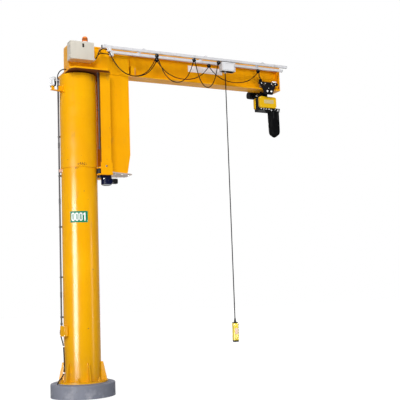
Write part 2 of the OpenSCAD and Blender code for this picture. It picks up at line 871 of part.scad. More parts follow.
// Outline of the hanging bag seen from one side, with a rounded bottom.
module bag_outline(w, narrowing, drop) {
    polygon([[0, 0], [w, 0], [w - narrowing / 3, -bag_h + drop], [w * 0.84, -bag_h + 0.45 * drop],
        [w * 0.72, -bag_h + 0.12 * drop], [w * 0.55, -bag_h], [w * 0.38, -bag_h + 0.12 * drop],
        [w * 0.22, -bag_h + 0.4 * drop], [narrowing, -bag_h + 0.8 * drop]]);
}

module chain_bag() {
    x = hoist_x + 18;
    y = -10 - bag_w;
    top = hoist_z - guide_h;
    color(black) {
        translate([x - bag_rim - 16, y - bag_rim, top - rim_h]) linear_extrude(rim_h)
            rounded_rectangle(bag_l + 2 * bag_rim + 12, bag_w + 2 * bag_rim, 16);
        translate([x, y, top - 2]) intersection() {
            translate([0, bag_w + 5, 0]) rotate([90, 0, 0]) linear_extrude(bag_w + 10)
                bag_outline(bag_l, 18, 80);
            translate([-5, 0, 0]) rotate([90, 0, 90]) linear_extrude(bag_l + 10)
                bag_outline(bag_w, 10, 60);
        }
    }
}

// ---- One line for each node ----

plinth();
base_plate();
anchor_bolts();
column_tube();
column_sleeve();
column_cap();
supply_conduit();
junction_box();
feed_cable();
floodlight_bracket();
floodlight();
slew_stop();
supply_tail();
slewing_plate();
jib_beam();
head_plates();
frame_box();
frame_posts();
roller_brackets();
frame_foot_plate();
slew_motor();
motor_conduit();
control_box();
control_gear();
beacon();
rail_arms();
control_rail();
hoist_rail();
travel_stops();
supply_leads();
festoon_loop(control_clamp_x, control_carriers[0] - 14, -control_rail_y, 300);  // control_loop_1
festoon_loop(hoist_clamp_x, hoist_carriers[0] - 14, -hoist_rail_y, 245);  // hoist_loop_1
control_box_door();
guide_roller(-roller_angle);  // guide_roller_front
guide_roller(roller_angle);  // guide_roller_rear
cable_carrier(control_carriers[0], control_rail_y);  // control_carrier_1
cable_carrier(control_carriers[1], control_rail_y);  // control_carrier_2
cable_carrier(carriage_x, control_rail_y);  // control_carrier_3
festoon_loop(control_carriers[0] + 14, control_carriers[1] - 14, -control_rail_y, 330);  // control_loop_2
festoon_loop(control_carriers[1] + 14, carriage_x - 14, -control_rail_y, 360);  // control_loop_3
cable_carrier(hoist_carriers[0], hoist_rail_y);  // hoist_carrier_1
cable_carrier(hoist_carriers[1], hoist_rail_y);  // hoist_carrier_2
cable_carrier(tow_x, hoist_rail_y);  // hoist_carrier_3
festoon_loop(hoist_carriers[0] + 14, hoist_carriers[1] - 14, -hoist_rail_y, 220);  // hoist_loop_2
festoon_loop(hoist_carriers[1] + 14, tow_x - 14, -hoist_rail_y, 195);  // hoist_loop_3
pendant_carriage();
pendant_cable();
pendant_station();
trolley_frame();
trolley_wheel_pair(trolley_x - wheel_gap / 2);  // trolley_wheels_inner
trolley_wheel_pair(trolley_x + wheel_gap / 2);  // trolley_wheels_outer
trolley_drive();
tow_lead();
hoist_body();
hoist_covers();
chain_guide();
load_chain();
load_hook();
chain_bag();
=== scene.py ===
"""Pillar jib crane: looks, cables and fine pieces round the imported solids."""
import math
import bpy
from mathutils import Matrix, Vector


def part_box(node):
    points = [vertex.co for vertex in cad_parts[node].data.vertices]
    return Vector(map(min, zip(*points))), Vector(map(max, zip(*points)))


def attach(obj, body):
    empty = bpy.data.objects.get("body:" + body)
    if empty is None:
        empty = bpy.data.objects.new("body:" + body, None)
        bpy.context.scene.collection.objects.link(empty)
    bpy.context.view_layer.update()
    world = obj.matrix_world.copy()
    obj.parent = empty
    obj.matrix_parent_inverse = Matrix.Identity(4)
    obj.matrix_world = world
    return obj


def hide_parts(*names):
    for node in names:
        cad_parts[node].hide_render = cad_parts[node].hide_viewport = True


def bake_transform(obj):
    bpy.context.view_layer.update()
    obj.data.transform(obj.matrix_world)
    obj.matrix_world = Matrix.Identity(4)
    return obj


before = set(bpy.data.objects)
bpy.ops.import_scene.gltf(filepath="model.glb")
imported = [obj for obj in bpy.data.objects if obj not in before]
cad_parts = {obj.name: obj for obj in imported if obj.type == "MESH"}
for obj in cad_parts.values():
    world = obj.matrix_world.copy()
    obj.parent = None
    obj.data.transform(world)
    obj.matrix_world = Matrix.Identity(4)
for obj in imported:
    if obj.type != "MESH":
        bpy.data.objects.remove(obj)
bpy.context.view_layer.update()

SIDES = (-1, 1)
UP, DOWN, FRONT, BACK, OUT = (0, 0, 1), (0, 0, -1), (0, -1, 0), (0, 1, 0), (1, 0, 0)
WHITE = (1, 1, 1, 1)

# ---------------------------------------------------------------- camera

LENS, EYE = 68.87, (-3.099, -9.601, 1.331)
YAW, PITCH, ROLL = math.radians(26.87), math.radians(6.436), -0.0353


def make_camera():
    """A long lens low on the left, looking along the jib and a little upwards."""
    ahead = Vector((math.sin(YAW) * math.cos(PITCH), math.cos(YAW) * math.cos(PITCH),
                    math.sin(PITCH)))
    level = Vector((math.cos(YAW), -math.sin(YAW), 0))
    upright = level.cross(ahead)
    right = level * math.cos(ROLL) + upright * math.sin(ROLL)
    up = upright * math.cos(ROLL) - level * math.sin(ROLL)
    data = bpy.data.cameras.new("camera")
    data.lens, data.sensor_width = LENS, 36
    data.clip_start, data.clip_end = 0.1, 200
    camera = bpy.data.objects.new("camera", data)
    bpy.context.scene.collection.objects.link(camera)
    turn = Matrix((right, up, -ahead)).transposed().to_4x4()
    camera.matrix_world = Matrix.Translation(EYE) @ turn
    bpy.context.scene.camera = camera


make_camera()

# ---------------------------------------------------------------- curves to meshes

ROUTE_STEP = 0.012


def clear_selection():
    if bpy.context.mode != "OBJECT":
        bpy.ops.object.mode_set(mode="OBJECT")
    bpy.ops.object.select_all(action="DESELECT")


def select_only(obj):
    clear_selection()
    obj.select_set(True)
    bpy.context.view_layer.objects.active = obj


def drawn(name, lines, closed, ripple=1.0, **settings):
    """A mesh from curves through points; ripple is every second point's thickness."""
    clear_selection()
    data = bpy.data.curves.new(name, "CURVE")
    data.dimensions = "3D"
    for key, value in settings.items():
        setattr(data, key, value)
    for points in lines:
        spline = data.splines.new("POLY")
        spline.points.add(len(points) - 1)
        for k, (spot, point) in enumerate(zip(spline.points, points)):
            spot.co = (*point, 1)
            spot.radius = 1.0 if k % 2 else ripple
        spline.use_cyclic_u = closed
    obj = bpy.data.objects.new(name, data)
    bpy.context.scene.collection.objects.link(obj)
    select_only(obj)
    bpy.ops.object.convert(target="MESH")
    return bpy.context.object


def tube(name, points, diameter, roundness=3, closed=False, ripple=1.0):
    """A round cable or bead along close points, as one closed mesh."""
    obj = drawn(name, [points], closed, ripple, bevel_depth=diameter / 2,
                bevel_resolution=roundness, use_fill_caps=True)
    bpy.ops.object.shade_smooth()
    return obj


def smooth_route(points):
    """Points close together on a smooth curve through the route's points."""
    route = [Vector(p) for p in points]
    route = [2 * route[0] - route[1]] + route + [2 * route[-1] - route[-2]]
    out = []
    for a, b, c, d in zip(route, route[1:], route[2:], route[3:]):
        parts = max(2, int((c - b).length / ROUTE_STEP))
        for k in range(parts):
            t = k / parts
            out.append(0.5 * (2 * b + (c - a) * t + (2 * a - 5 * b + 4 * c - d) * t * t
                              + (3 * b - a - 3 * c + d) * t ** 3))
    return out + [route[-2]]


# ---------------------------------------------------------------- cables

CARRIER_Z, CLAMP_HALF, CLAMP_DROP = 4.450, 0.014, 0.014
FESTOON, LEAD, FEED = 0.012, 0.014, 0.016
CONTROL_Y, HOIST_Y = -0.350, -0.165
CONDUIT_X, CONDUIT_Y = -0.25047, 0.06711
STATION_X, STATION_Y = 2.060, -0.350
cables = []


def hanging_loop(x1, x2, y, sag):
    """Points of a cable that hangs in a loop between two carriers."""
    points = [(x1, y, CARRIER_Z)]
    for k in range(9):
        u = k / 8
        points.append((x1 + (x2 - x1) * (u - 0.35 * math.sin(2 * math.pi * u) / 6.283), y,
                       CARRIER_Z - CLAMP_DROP - (sag - CLAMP_DROP) * math.sin(math.pi * u)))
    return points + [(x2, y, CARRIER_Z)]


def steps_from(place, steps):
    return [Vector(place) + Vector(step) for step in steps]


def free_cable(name, points, diameter, node, bodies):
    """A cable in place of its plain solid, fixed to its one body; with two bodies it is fixed to
    neither.
    """
    route = smooth_route(points)
    obj = tube(name, route, diameter)
    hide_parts(node)
    if len(bodies) == 2:
        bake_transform(obj)
    else:
        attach(obj, bodies[0])
    cables.append(obj)


festoons = {"control": (CONTROL_Y, (0.330, 1.00971, 1.57532, 1.960), (0.300, 0.330, 0.360)),
            "hoist": (HOIST_Y, (0.430, 1.08952, 1.90018, 2.720), (0.245, 0.220, 0.195))}
for line, (y, stops, sags) in festoons.items():
    for k in range(3):
        start = stops[k] + (CLAMP_HALF if k else 0)
        before = f"{line}_carrier_{k}" if k else "jib"
        free_cable(f"{line}_festoon_{k + 1}",
                   hanging_loop(start, stops[k + 1] - CLAMP_HALF, y, sags[k]), FESTOON,
                   f"{line}_loop_{k + 1}", (before, f"{line}_carrier_{k + 1}"))

BOX_SIDE = Vector((0.162, -0.240, 4.363))
free_cable("control_lead", steps_from(BOX_SIDE + Vector((0, 0.030, 0)), [
    (0, 0, 0), (0.008, 0, 0), (0.022, -0.003, 0.007), (0.040, -0.012, 0.040),
    (0.052, -0.034, 0.088), (0.072, -0.072, 0.118), (0.094, -0.110, 0.122),
    (0.119, -0.138, 0.107), (0.133, -0.138, 0.107)]), LEAD, "supply_leads", ("jib",))
free_cable("hoist_lead", steps_from(BOX_SIDE + Vector((0, 0.070, 0)), [
    (0, 0, 0), (0.008, 0, 0), (0.022, 0, 0.007), (0.044, 0.002, 0.034), (0.070, 0.004, 0.080),
    (0.110, 0.005, 0.106), (0.170, 0.005, 0.111), (0.219, 0.005, 0.107),
    (0.233, 0.005, 0.107)]), LEAD, "supply_leads", ("jib",))
free_cable("supply_tail_cable", steps_from((CONDUIT_X, CONDUIT_Y, 4.105), [
    (0, 0, 0), (0, 0, 0.009), (-0.004, -0.001, 0.026), (-0.008, -0.009, 0.054)])
    + steps_from((-0.172, -0.050, 4.239), [
        (-0.085, 0.090, -0.053), (-0.077, 0.064, -0.029), (-0.062, 0.036, -0.011),
        (-0.042, 0.014, -0.002), (-0.020, 0.001, 0), (-0.010, 0, 0), (0, 0, 0)]),
    LEAD, "supply_tail", ("mast", "jib"))
free_cable("hoist_tow_cable", steps_from((2.734, -0.165, 4.450), [
    (0, 0, 0), (0, 0, -0.022), (0.003, 0.003, -0.048), (0.012, 0.012, -0.076),
    (0.028, 0.024, -0.0707), (0.036, 0.030, -0.0847), (0.036, 0.030, -0.0987)]),
    LEAD, "tow_lead", ("trolley",))
feed = steps_from((CONDUIT_X, CONDUIT_Y, 0.900), [
    (0, 0, 0), (0, 0, -0.009), (-0.004, -0.001, -0.026), (-0.012, -0.005, -0.048),
    (-0.020, -0.013, -0.074), (-0.024, -0.023, -0.106), (-0.020, -0.035, -0.142),
    (-0.013, -0.049, -0.180), (-0.006, -0.063, -0.220), (-0.002, -0.075, -0.265),
    (-0.001, -0.085, -0.320), (-0.001, -0.093, -0.380), (-0.001, -0.097, -0.450),
    (-0.002, -0.099, -0.520), (-0.006, -0.101, -0.580), (-0.030, -0.103, -0.638),
    (-0.062, -0.105, -0.672), (-0.086, -0.107, -0.704), (-0.092, -0.107, -0.719),
    (-0.092, -0.107, -0.730)])
free_cable("feed_cable_run", feed, FEED, "feed_cable", ("mast",))
free_cable("pendant_hanging_cable",
           [(STATION_X, STATION_Y, 4.319 - 3.470 * k / 40) for k in range(41)], LEAD,
           "pendant_cable", ("pendant",))

# ---------------------------------------------------------------- finishes

finishes = {}


def wired(tree, kind, output, inputs, **values):
    """A new node with its values set, and its inputs set or linked. Returns one output."""
    made = tree.nodes.new("ShaderNode" + kind)
    for key, value in values.items():
        setattr(made, key, value)
    for key, value in inputs.items():
        if isinstance(value, bpy.types.NodeSocket):
            tree.links.new(value, made.inputs[key])
        else:
            made.inputs[key].default_value = value
    return made.outputs[output]


class Finish:
    """A procedural material on the piece's own coordinates."""

    def __init__(self, name, colour, metallic=0.0, specular=0.3):
        finishes[name] = bpy.data.materials.new(name)
        finishes[name].use_nodes = True
        self.tree = finishes[name].node_tree
        self.inputs = self.tree.nodes["Principled BSDF"].inputs
        self.place = self.tree.nodes.new("ShaderNodeTexCoord").outputs["Object"]
        self.colour, self.height = (*colour, 1), None
        self.inputs["Base Color"].default_value = self.colour
        self.inputs["Metallic"].default_value = metallic
        self.inputs["Specular IOR Level"].default_value = specular

    def node(self, kind, output, inputs, **values):
        return wired(self.tree, kind, output, inputs, **values)

    def stretched(self, stretch, shift=(0, 0, 0)):
        return self.node("Mapping", "Vector",
                         {"Vector": self.place, "Scale": stretch, "Location": shift})

    def noise(self, scale, detail, stretch=(1, 1, 1), shift=(0, 0, 0)):
        return self.node("TexNoise", "Fac", {"Vector": self.stretched(stretch, shift),
                                             "Scale": scale, "Detail": detail})

    def grains(self, scale):
        return self.node("TexVoronoi", "Distance",
                         {"Vector": self.stretched((1, 1, 1)), "Scale": scale})

    def between(self, value, low, high, to_low=0.0, to_high=1.0):
        return self.node("MapRange", "Result", {"Value": value, "From Min": low, "From Max": high,
                                                "To Min": to_low, "To Max": to_high})

    def times(self, a, b, operation="MULTIPLY"):
        return self.node("Math", "Value", {0: a, 1: b}, operation=operation)

    def axis(self, letter):
        return self.node("SeparateXYZ", letter, {"Vector": self.place})

    def near(self, centre, radius, flat):
        """1 at the centre, falling to 0 at the radius, or sooner up and down where it is flat."""
        x, y, z = centre
        distance = self.node("VectorMath", "Value",
                             {0: self.stretched((1, 1, flat)), 1: (x, y, z * flat)},
                             operation="DISTANCE")
        return self.between(distance, 0, radius, 1, 0)

    def tint(self, colour, amount):
        """Lays a colour over what is there, by an amount from 0 to 1."""
        self.colour = self.node("Mix", "Result", {"A": self.colour, "B": (*colour, 1),
                                                  "Factor": amount}, data_type="RGBA")

    def rough(self, value, low, high):
        self.tree.links.new(self.between(value, 0.3, 0.7, low, high), self.inputs["Roughness"])

    def relief(self, value, depth):
        """Raises the surface by depth, in metres, where the value is 1."""
        made = self.times(value, depth)
        self.height = self.times(self.height, made, "ADD") if self.height else made

    def done(self):
        normal = self.node("Bump", "Normal", {"Distance": 1.0, "Height": self.height})
        self.tree.links.new(self.colour, self.inputs["Base Color"])
        self.tree.links.new(normal, self.inputs["Normal"])


def enamel(name, colour, shade, chip, low, high, grime=0.0, scuffs=(), gloss=0.10, dusty=0.45,
           shade_faces=(), shaded_foot=0.0):
    """Brushed-on gloss paint: slight shade changes, runs, orange peel, chips and grime, with
    painted shade towards the foot and on faces in shadow.
    """
    f = Finish(name, colour, specular=gloss)
    f.tint(shade, f.between(f.noise(1.7, 3), 0.35, 0.70, 0.0, 0.8))
    f.tint(shade, f.between(f.noise(2.2, 5, (7, 7, 0.5)), 0.50, 0.75, 0.0, 0.55))
    # Painted shade: the colour is darker towards the foot, by the shaded_foot amount.
    f.tint([0.70 * c for c in colour], f.between(f.axis("Z"), 1.60, 0.30, 0, shaded_foot))
    dust = (0.36, 0.21, 0.05)
    f.tint(dust, f.times(f.between(f.axis("Z"), 0.60, 0.18, 0, grime),
                         f.between(f.noise(9, 6), 0.35, 0.75)))
    f.tint(dust, f.between(f.noise(3.1, 8, (4, 4, 1.2), (5, 1, 2)), 0.64, 0.80, 0.0, dusty))
    f.tint(chip, f.between(f.noise(31, 3, shift=(3, 7, 1)), 0.735, 0.755))
    for centre, radius, colour_under in scuffs:
        patch = f.times(f.near(centre, radius, 2.6), f.between(f.noise(75, 5), 0.47, 0.60))
        f.tint(colour_under, f.between(patch, 0.14, 0.40))
    # Painted shade: past an edge along an axis, faces take a primer brown, as they lie in shadow.
    for letter, painted, shaded_edge, shade_colour in shade_faces:
        f.tint(shade_colour, f.between(f.axis(letter), painted, shaded_edge))
    f.rough(f.noise(6, 4), low, high)
    f.relief(f.noise(260, 2), 0.00008)
    f.relief(f.noise(9, 2), 0.00030)
    f.done()


def bare_metal(name, colour, low, high, metallic, scale):
    """Zinc-coated or machined steel with grains, marks and a dull bloom."""
    f = Finish(name, colour, metallic, 0.5)
    f.tint([0.72 * c for c in colour], f.between(f.grains(scale), 0.1, 0.7, 0.0, 0.5))
    f.tint((0.20, 0.16, 0.12), f.between(f.noise(12, 7), 0.60, 0.80, 0.0, 0.5))
    f.rough(f.noise(40, 4), low, high)
    f.relief(f.noise(300, 2), 0.00008)
    f.done()


def moulded(name, colour, low, high, grain=500, dusty=0.25, gloss=0.3, bands=()):
    """Moulded plastic or rubber with a fine grain and dust, and bands of another shade."""
    f = Finish(name, colour, specular=gloss)
    for middle, half, shade in bands:
        f.tint(shade, f.between(f.times(f.times(f.axis("Z"), middle, "SUBTRACT"), 0, "ABSOLUTE"),
                                half, 0.7 * half))
    f.tint([0.8 * c for c in colour], f.between(f.noise(5, 5), 0.4, 0.7, 0, 0.6))
    f.tint((0.36, 0.33, 0.28), f.between(f.noise(17, 7), 0.58, 0.82, 0, dusty))
    f.rough(f.noise(22, 4), low, high)
    f.relief(f.noise(grain, 2), 0.00010)
    f.done()


def woven(name, colour):
    """Coated cloth: a fine weave, lighter patches that are painted highlights on creases, and dust
    in the folds.
    """
    f = Finish(name, colour, specular=0.02)
    # Painted highlight: lighter patches of the cloth's colour where the creases would catch the
    # light.
    f.tint([c * 2.2 for c in colour], f.between(f.noise(16, 5), 0.45, 0.70, 0, 0.6))
    f.tint((0.16, 0.15, 0.13), f.between(f.noise(9, 7), 0.60, 0.85, 0, 0.04))
    warp, weft = (f.times(f.times(f.axis(letter), 1500), 0, "SINE") for letter in "XZ")
    f.relief(f.times(warp, weft), 0.00012)
    f.relief(f.noise(45, 5), 0.0010)
    f.rough(f.noise(30, 3), 0.55, 0.80)
    f.done()


def cast_concrete(name, colour):
    """Painted concrete with trowel marks, pale scuffs, dirt and air holes."""
    f = Finish(name, colour, specular=0.10)
    f.tint((0.145, 0.155, 0.190), f.between(f.noise(3.2, 6), 0.40, 0.68, 0, 0.75))
    f.tint((0.36, 0.36, 0.40), f.between(f.noise(7, 8, shift=(4, 4, 0)), 0.55, 0.75, 0, 0.6))
    f.tint((0.12, 0.11, 0.10), f.between(f.noise(26, 8), 0.66, 0.74, 0, 0.7))
    f.relief(f.between(f.grains(55), 0.0, 0.25, 0, 1), 0.0012)
    f.relief(f.noise(30, 8), 0.0022)
    f.rough(f.noise(12, 5), 0.55, 0.85)
    f.done()


yellow, deep_yellow = (0.92, 0.445, 0.002), (0.84, 0.365, 0.002)
jib_yellow, deep_jib_yellow = (0.93, 0.425, 0.002), (0.84, 0.350, 0.002)
# The primer brown named last is painted shade for faces in shadow.
primer, rust, primer_brown_shade = (0.26, 0.10, 0.05), (0.16, 0.05, 0.02), (0.20, 0.065, 0.018)
chipped = (0.3, 0.3, 0.3)
# The column's paint takes painted shade towards its foot (shaded_foot).
enamel("column_yellow", yellow, deep_yellow, primer, 0.16, 0.30, 0.4, gloss=0.05,
       scuffs=(((-0.11, -0.21, 2.90), 0.05, rust),), shaded_foot=0.8)
enamel("sleeve_yellow", yellow, deep_yellow, primer, 0.22, 0.36, gloss=0.05,
       scuffs=(((-0.035, -0.245, 2.950), 0.09, rust), ((-0.05, 0.24, 2.93), 0.10, rust)))
# Painted shade in primer brown on the posts' faces towards the column and on the slewing plate's
# underside.
for name, shade_faces in (("jib_yellow", ()), ("post_yellow", (("X", 0.2275, 0.2255, primer_brown_shade),)),
                   ("slewing_yellow", (("Z", 4.1900, 4.1885, primer_brown_shade),))):
    enamel(name, jib_yellow, deep_jib_yellow, primer, 0.26, 0.42, gloss=0.05, shade_faces=shade_faces)
enamel("grey_enamel", (0.66, 0.62, 0.54), (0.58, 0.54, 0.47), chipped, 0.3, 0.45)
enamel("motor_enamel", (0.006, 0.009, 0.042), (0.004, 0.006, 0.028), chipped, 0.25, 0.4,
       gloss=0.03, dusty=0.08)
enamel("black_enamel", (0.007, 0.007, 0.008), (0.004, 0.004, 0.005), chipped, 0.34, 0.50,
       gloss=0.05, dusty=0.06)
enamel("hoist_yellow", (0.76, 0.46, 0.006), (0.66, 0.37, 0.005), (0.08, 0.08, 0.08), 0.25, 0.4)
enamel("green_plate", (0.010, 0.250, 0.130), (0.006, 0.19, 0.10), (0.5, 0.5, 0.5), 0.3, 0.45,
       gloss=0.02, dusty=0.15)
enamel("foot_grey", (0.60, 0.51, 0.46), (0.50, 0.42, 0.38), (0.3, 0.2, 0.15), 0.35, 0.5)
cast_concrete("painted_concrete", (0.168, 0.178, 0.224))
woven("bag_cloth", (0.0025, 0.0025, 0.003))
woven("strap_webbing", (0.012, 0.012, 0.013))
bare_metal("zinc", (0.62, 0.62, 0.64), 0.38, 0.55, 0.55, 90)
bare_metal("zinc_bolt", (0.55, 0.54, 0.52), 0.3, 0.5, 0.85, 200)
bare_metal("worn_steel", (0.30, 0.28, 0.26), 0.3, 0.5, 0.9, 70)
bare_metal("old_bolt", (0.085, 0.060, 0.045), 0.45, 0.65, 0.5, 200)
bare_metal("lamp_aluminium", (0.50, 0.51, 0.53), 0.4, 0.6, 0.4, 120)
bare_metal("grey_metal", (0.33, 0.36, 0.38), 0.35, 0.5, 0.5, 150)
bare_metal("bright_steel", (0.80, 0.80, 0.80), 0.25, 0.4, 0.6, 150)
moulded("cable_rubber", (0.003, 0.003, 0.004), 0.5, 0.7, 900, 0.02, 0.03)
moulded("conduit_plastic", (0.10, 0.10, 0.105), 0.5, 0.7, 400, 0.2, 0.05)
moulded("black_plastic", (0.006, 0.006, 0.007), 0.4, 0.6, 500, 0.05, 0.05)
moulded("white_plastic", (0.78, 0.78, 0.80), 0.3, 0.5, 400, 0.12)
moulded("stop_rubber", (0.62, 0.34, 0.26), 0.5, 0.7)
moulded("stop_dark", (0.008, 0.008, 0.008), 0.5, 0.7, 500, 0.05, 0.04)
# The pale band over the dome's rounded top is a painted highlight; the other band is darker orange
# lower on the dome.
moulded("beacon_orange", (0.86, 0.22, 0.030), 0.15, 0.25, 60, 0.08, 0.2,
        ((4.6260, 0.017, (0.34, 0.085, 0.012)), (4.6750, 0.022, (0.95, 0.50, 0.28))))
moulded("switch_gear", (0.10, 0.10, 0.11), 0.35, 0.5)
moulded("lamp_glass", (0.80, 0.80, 0.82), 0.08, 0.14, 60, 0.05)
moulded("plate_white", (0.93, 0.92, 0.92), 0.3, 0.45, 200, 0.05, 0.05)
moulded("station_label", (0.74, 0.52, 0.40), 0.4, 0.55, 300, 0.3)
moulded("station_yellow", (0.80, 0.62, 0.020), 0.32, 0.5, 500, 0.2)
moulded("red_plastic", (0.55, 0.015, 0.012), 0.25, 0.4)
moulded("pale_panel", (0.60, 0.48, 0.22), 0.3, 0.45, 300, 0.2)

node_finishes = {
    "painted_concrete": "plinth",
    "column_yellow": "base_plate column_tube column_cap junction_box",
    "sleeve_yellow": "column_sleeve", "conduit_plastic": "supply_conduit motor_conduit",
    "jib_yellow": "floodlight_bracket jib_beam head_plates frame_box roller_brackets travel_stops",
    "slewing_yellow": "slewing_plate", "post_yellow": "frame_posts",
    "foot_grey": "frame_foot_plate", "motor_enamel": "slew_motor",
    "grey_enamel": "control_box control_box_door", "switch_gear": "control_gear",
    "zinc": "rail_arms control_rail hoist_rail", "white_plastic": "pendant_carriage",
    # The guide rollers take the near-black rubber of the stops, which also stands in as painted
    # shade in the dark gap by the column.
    "stop_dark": "guide_roller_front guide_roller_rear",
    "black_enamel": "trolley_frame trolley_drive hoist_body",
    "black_plastic": "chain_guide control_carrier_1 control_carrier_2 control_carrier_3 "
                     "hoist_carrier_1 hoist_carrier_2 hoist_carrier_3",
    "worn_steel": "trolley_wheels_inner trolley_wheels_outer",
    "zinc_bolt": "load_chain load_hook anchor_bolts", "cable_rubber": "feed_cable pendant_cable",
    "hoist_yellow": "hoist_covers pendant_station", "lamp_aluminium": "floodlight",
    "beacon_orange": "beacon", "bag_cloth": "chain_bag", "stop_rubber": "slew_stop"}


def paint(obj, finish):
    material = finishes[finish]
    if not obj.material_slots:
        obj.data.materials.append(material)
    for spot in obj.material_slots:
        spot.material = material


for finish, nodes in node_finishes.items():
    for node in nodes.split():
        paint(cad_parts[node], finish)
for obj in cables:
    paint(obj, "cable_rubber")

# ---------------------------------------------------------------- making pieces


def shade(obj, degrees=35):
    select_only(obj)
    bpy.ops.object.shade_smooth_by_angle(angle=math.radians(degrees))
    return obj


def placed(obj, place=(0, 0, 0), turn=(0, 0, 0)):
    """Puts a turn in degrees and a place into the mesh."""
    obj.rotation_mode = "XYZ"
    obj.rotation_euler = [math.radians(a) for a in turn]
    obj.location = place
    select_only(obj)
    bpy.ops.object.transform_apply(location=True, rotation=True, scale=True)
    return obj


def swing(obj, degrees):
    """Turns a piece about the column's axis."""
    return placed(obj, turn=(0, 0, degrees))


def aim(obj, place, axis):
    """Turns a piece made along +Z to an axis, and puts its foot at a place."""
    turn = Vector(axis).to_track_quat("Z", "Y").to_matrix().to_4x4()
    obj.matrix_world = Matrix.Translation(place) @ turn
    select_only(obj)
    bpy.ops.object.transform_apply(location=True, rotation=True, scale=True)
    return obj


def edit_all(obj):
    select_only(obj)
    bpy.ops.object.mode_set(mode="EDIT")
    bpy.ops.mesh.select_all(action="SELECT")


def leave_edit():
    bpy.ops.mesh.select_all(action="SELECT")
    bpy.ops.mesh.normals_make_consistent(inside=False)
    bpy.ops.object.mode_set(mode="OBJECT")


def block_piece(name, one, other, edge=0.002, steps=2):
    """A block between two opposite corners, with rounded edges."""
    one, other = Vector(one), Vector(other)
    clear_selection()
    bpy.ops.mesh.primitive_cube_add(size=1)
    obj = bpy.context.object
    obj.name, obj.scale = name, [abs(b - a) for a, b in zip(one, other)]
    placed(obj, (one + other) / 2)
    edit_all(obj)
    bpy.ops.mesh.bevel(offset=edge, segments=steps, affect="EDGES")
    leave_edit()
    return shade(obj)


def pick_faces(obj, direction):
    """Selects, in edit mode, the faces that look in a direction."""
    bpy.ops.mesh.select_all(action="DESELECT")
    bpy.ops.object.mode_set(mode="OBJECT")
    for face in obj.data.polygons:
        face.select = face.normal.dot(Vector(direction)) > 0.99
    bpy.ops.object.mode_set(mode="EDIT")


def sunk_panel(obj, direction, border, depth, rim=None):
    """Insets the faces that look in a direction and moves them along it."""
    edit_all(obj)
    bpy.ops.mesh.select_mode(type="FACE")
    pick_faces(obj, direction)
    bpy.ops.mesh.inset(thickness=border, depth=0)
    bpy.ops.mesh.inset(thickness=rim or abs(depth) * 0.8, depth=depth)
    leave_edit()
    return shade(obj)


def turned(name, steps, place=(0, 0, 0), axis=UP, sides=32):
    """A turned piece: steps are heights and radii from its foot upward."""
    clear_selection()
    bpy.ops.mesh.primitive_circle_add(vertices=sides, radius=steps[0][1], fill_type="NGON")
    obj = bpy.context.object
    obj.name = name
    placed(obj, (0, 0, steps[0][0]))
    edit_all(obj)
    for (z0, r0), (z1, r1) in zip(steps, steps[1:]):
        bpy.ops.mesh.extrude_region_move(TRANSFORM_OT_translate={"value": (0, 0, z1 - z0)})
        if r1 != r0:
            bpy.ops.transform.resize(value=(r1 / r0, r1 / r0, 1))
    leave_edit()
    return aim(shade(obj), place, axis)


def band(low, high, radius, small, edge=0.001):
    """Steps of a plain ring between two heights, with its edges taken down to a small radius."""
    return [(low, small), (low + edge, radius), (high - edge, radius), (high, small)]


def rounded_outline(width, height, radius, corner=6):
    points = []
    for cx, cy, start in ((1, 1, 0), (-1, 1, 90), (-1, -1, 180), (1, -1, 270)):
        for k in range(corner + 1):
            a = math.radians(start + 90 * k / corner)
            points.append((cx * (width / 2 - radius) + radius * math.cos(a),
                           cy * (height / 2 - radius) + radius * math.sin(a)))
    return points


def plate(name, outline, thickness, edge, holes=()):
    """A flat plate from an outline in X and Y, with holes, standing on Z = 0."""
    obj = drawn(name, [[(x, y, 0) for x, y in line] for line in (outline, *holes)], True,
                dimensions="2D", fill_mode="BOTH", extrude=thickness / 2 - edge,
                bevel_depth=edge, bevel_resolution=1)
    edit_all(obj)
    bpy.ops.mesh.remove_doubles(threshold=0.00002)
    bpy.ops.transform.translate(value=(0, 0, thickness / 2))
    leave_edit()
    return shade(obj)


def upright_plate(name, width, height, radius, thickness, edge, place):
    """A plate with rounded corners that faces the front."""
    return placed(plate(name, rounded_outline(width, height, radius), thickness, edge), place,
                  (90, 0, 0))


def lofted(name, outline, levels):
    """A skin through outlines of one shape: levels are height, centre X and Y, scale X and Y."""
    z, cx, cy, sx, sy = levels[0]
    obj = drawn(name, [[(cx + sx * x, cy + sy * y, z) for x, y in outline]], True)
    edit_all(obj)
    bpy.ops.mesh.select_mode(type="EDGE")
    bpy.ops.mesh.select_all(action="SELECT")
    for nz, nx, ny, tx, ty in levels[1:]:
        bpy.ops.mesh.extrude_region_move(
            TRANSFORM_OT_translate={"value": (nx - cx, ny - cy, nz - z)})
        bpy.ops.transform.resize(value=(tx / sx, ty / sy, 1), center_override=(nx, ny, nz))
        z, cx, cy, sx, sy = nz, nx, ny, tx, ty
    bpy.ops.mesh.fill()
    leave_edit()
    return obj


def bead(points, width, closed=False):
    """A weld bead with its ripples, along points."""
    route = []
    ends = points + points[:1] if closed else points
    for a, b in zip(ends, ends[1:]):
        a, b = Vector(a), Vector(b)
        parts = max(1, round((b - a).length / (width * 0.55)))
        route += [a.lerp(b, k / parts) for k in range(parts)]
    if not closed:
        route.append(Vector(ends[-1]))
    return tube("bead", route, width, 1, closed, 0.84)


def side_beads(rows, width=0.006):
    """Straight beads at both sides: each row is Y, then X and Z at one end and at the other."""
    return [bead([(x0, s * y, z0), (x1, s * y, z1)], width)
            for y, x0, z0, x1, z1 in rows for s in SIDES]


def polar(radius, degrees, z):
    a = math.radians(degrees)
    return Vector((radius * math.cos(a), radius * math.sin(a), z))


def ring(radius, z, parts):
    return [polar(radius, 360 * k / parts, z) for k in range(parts)]


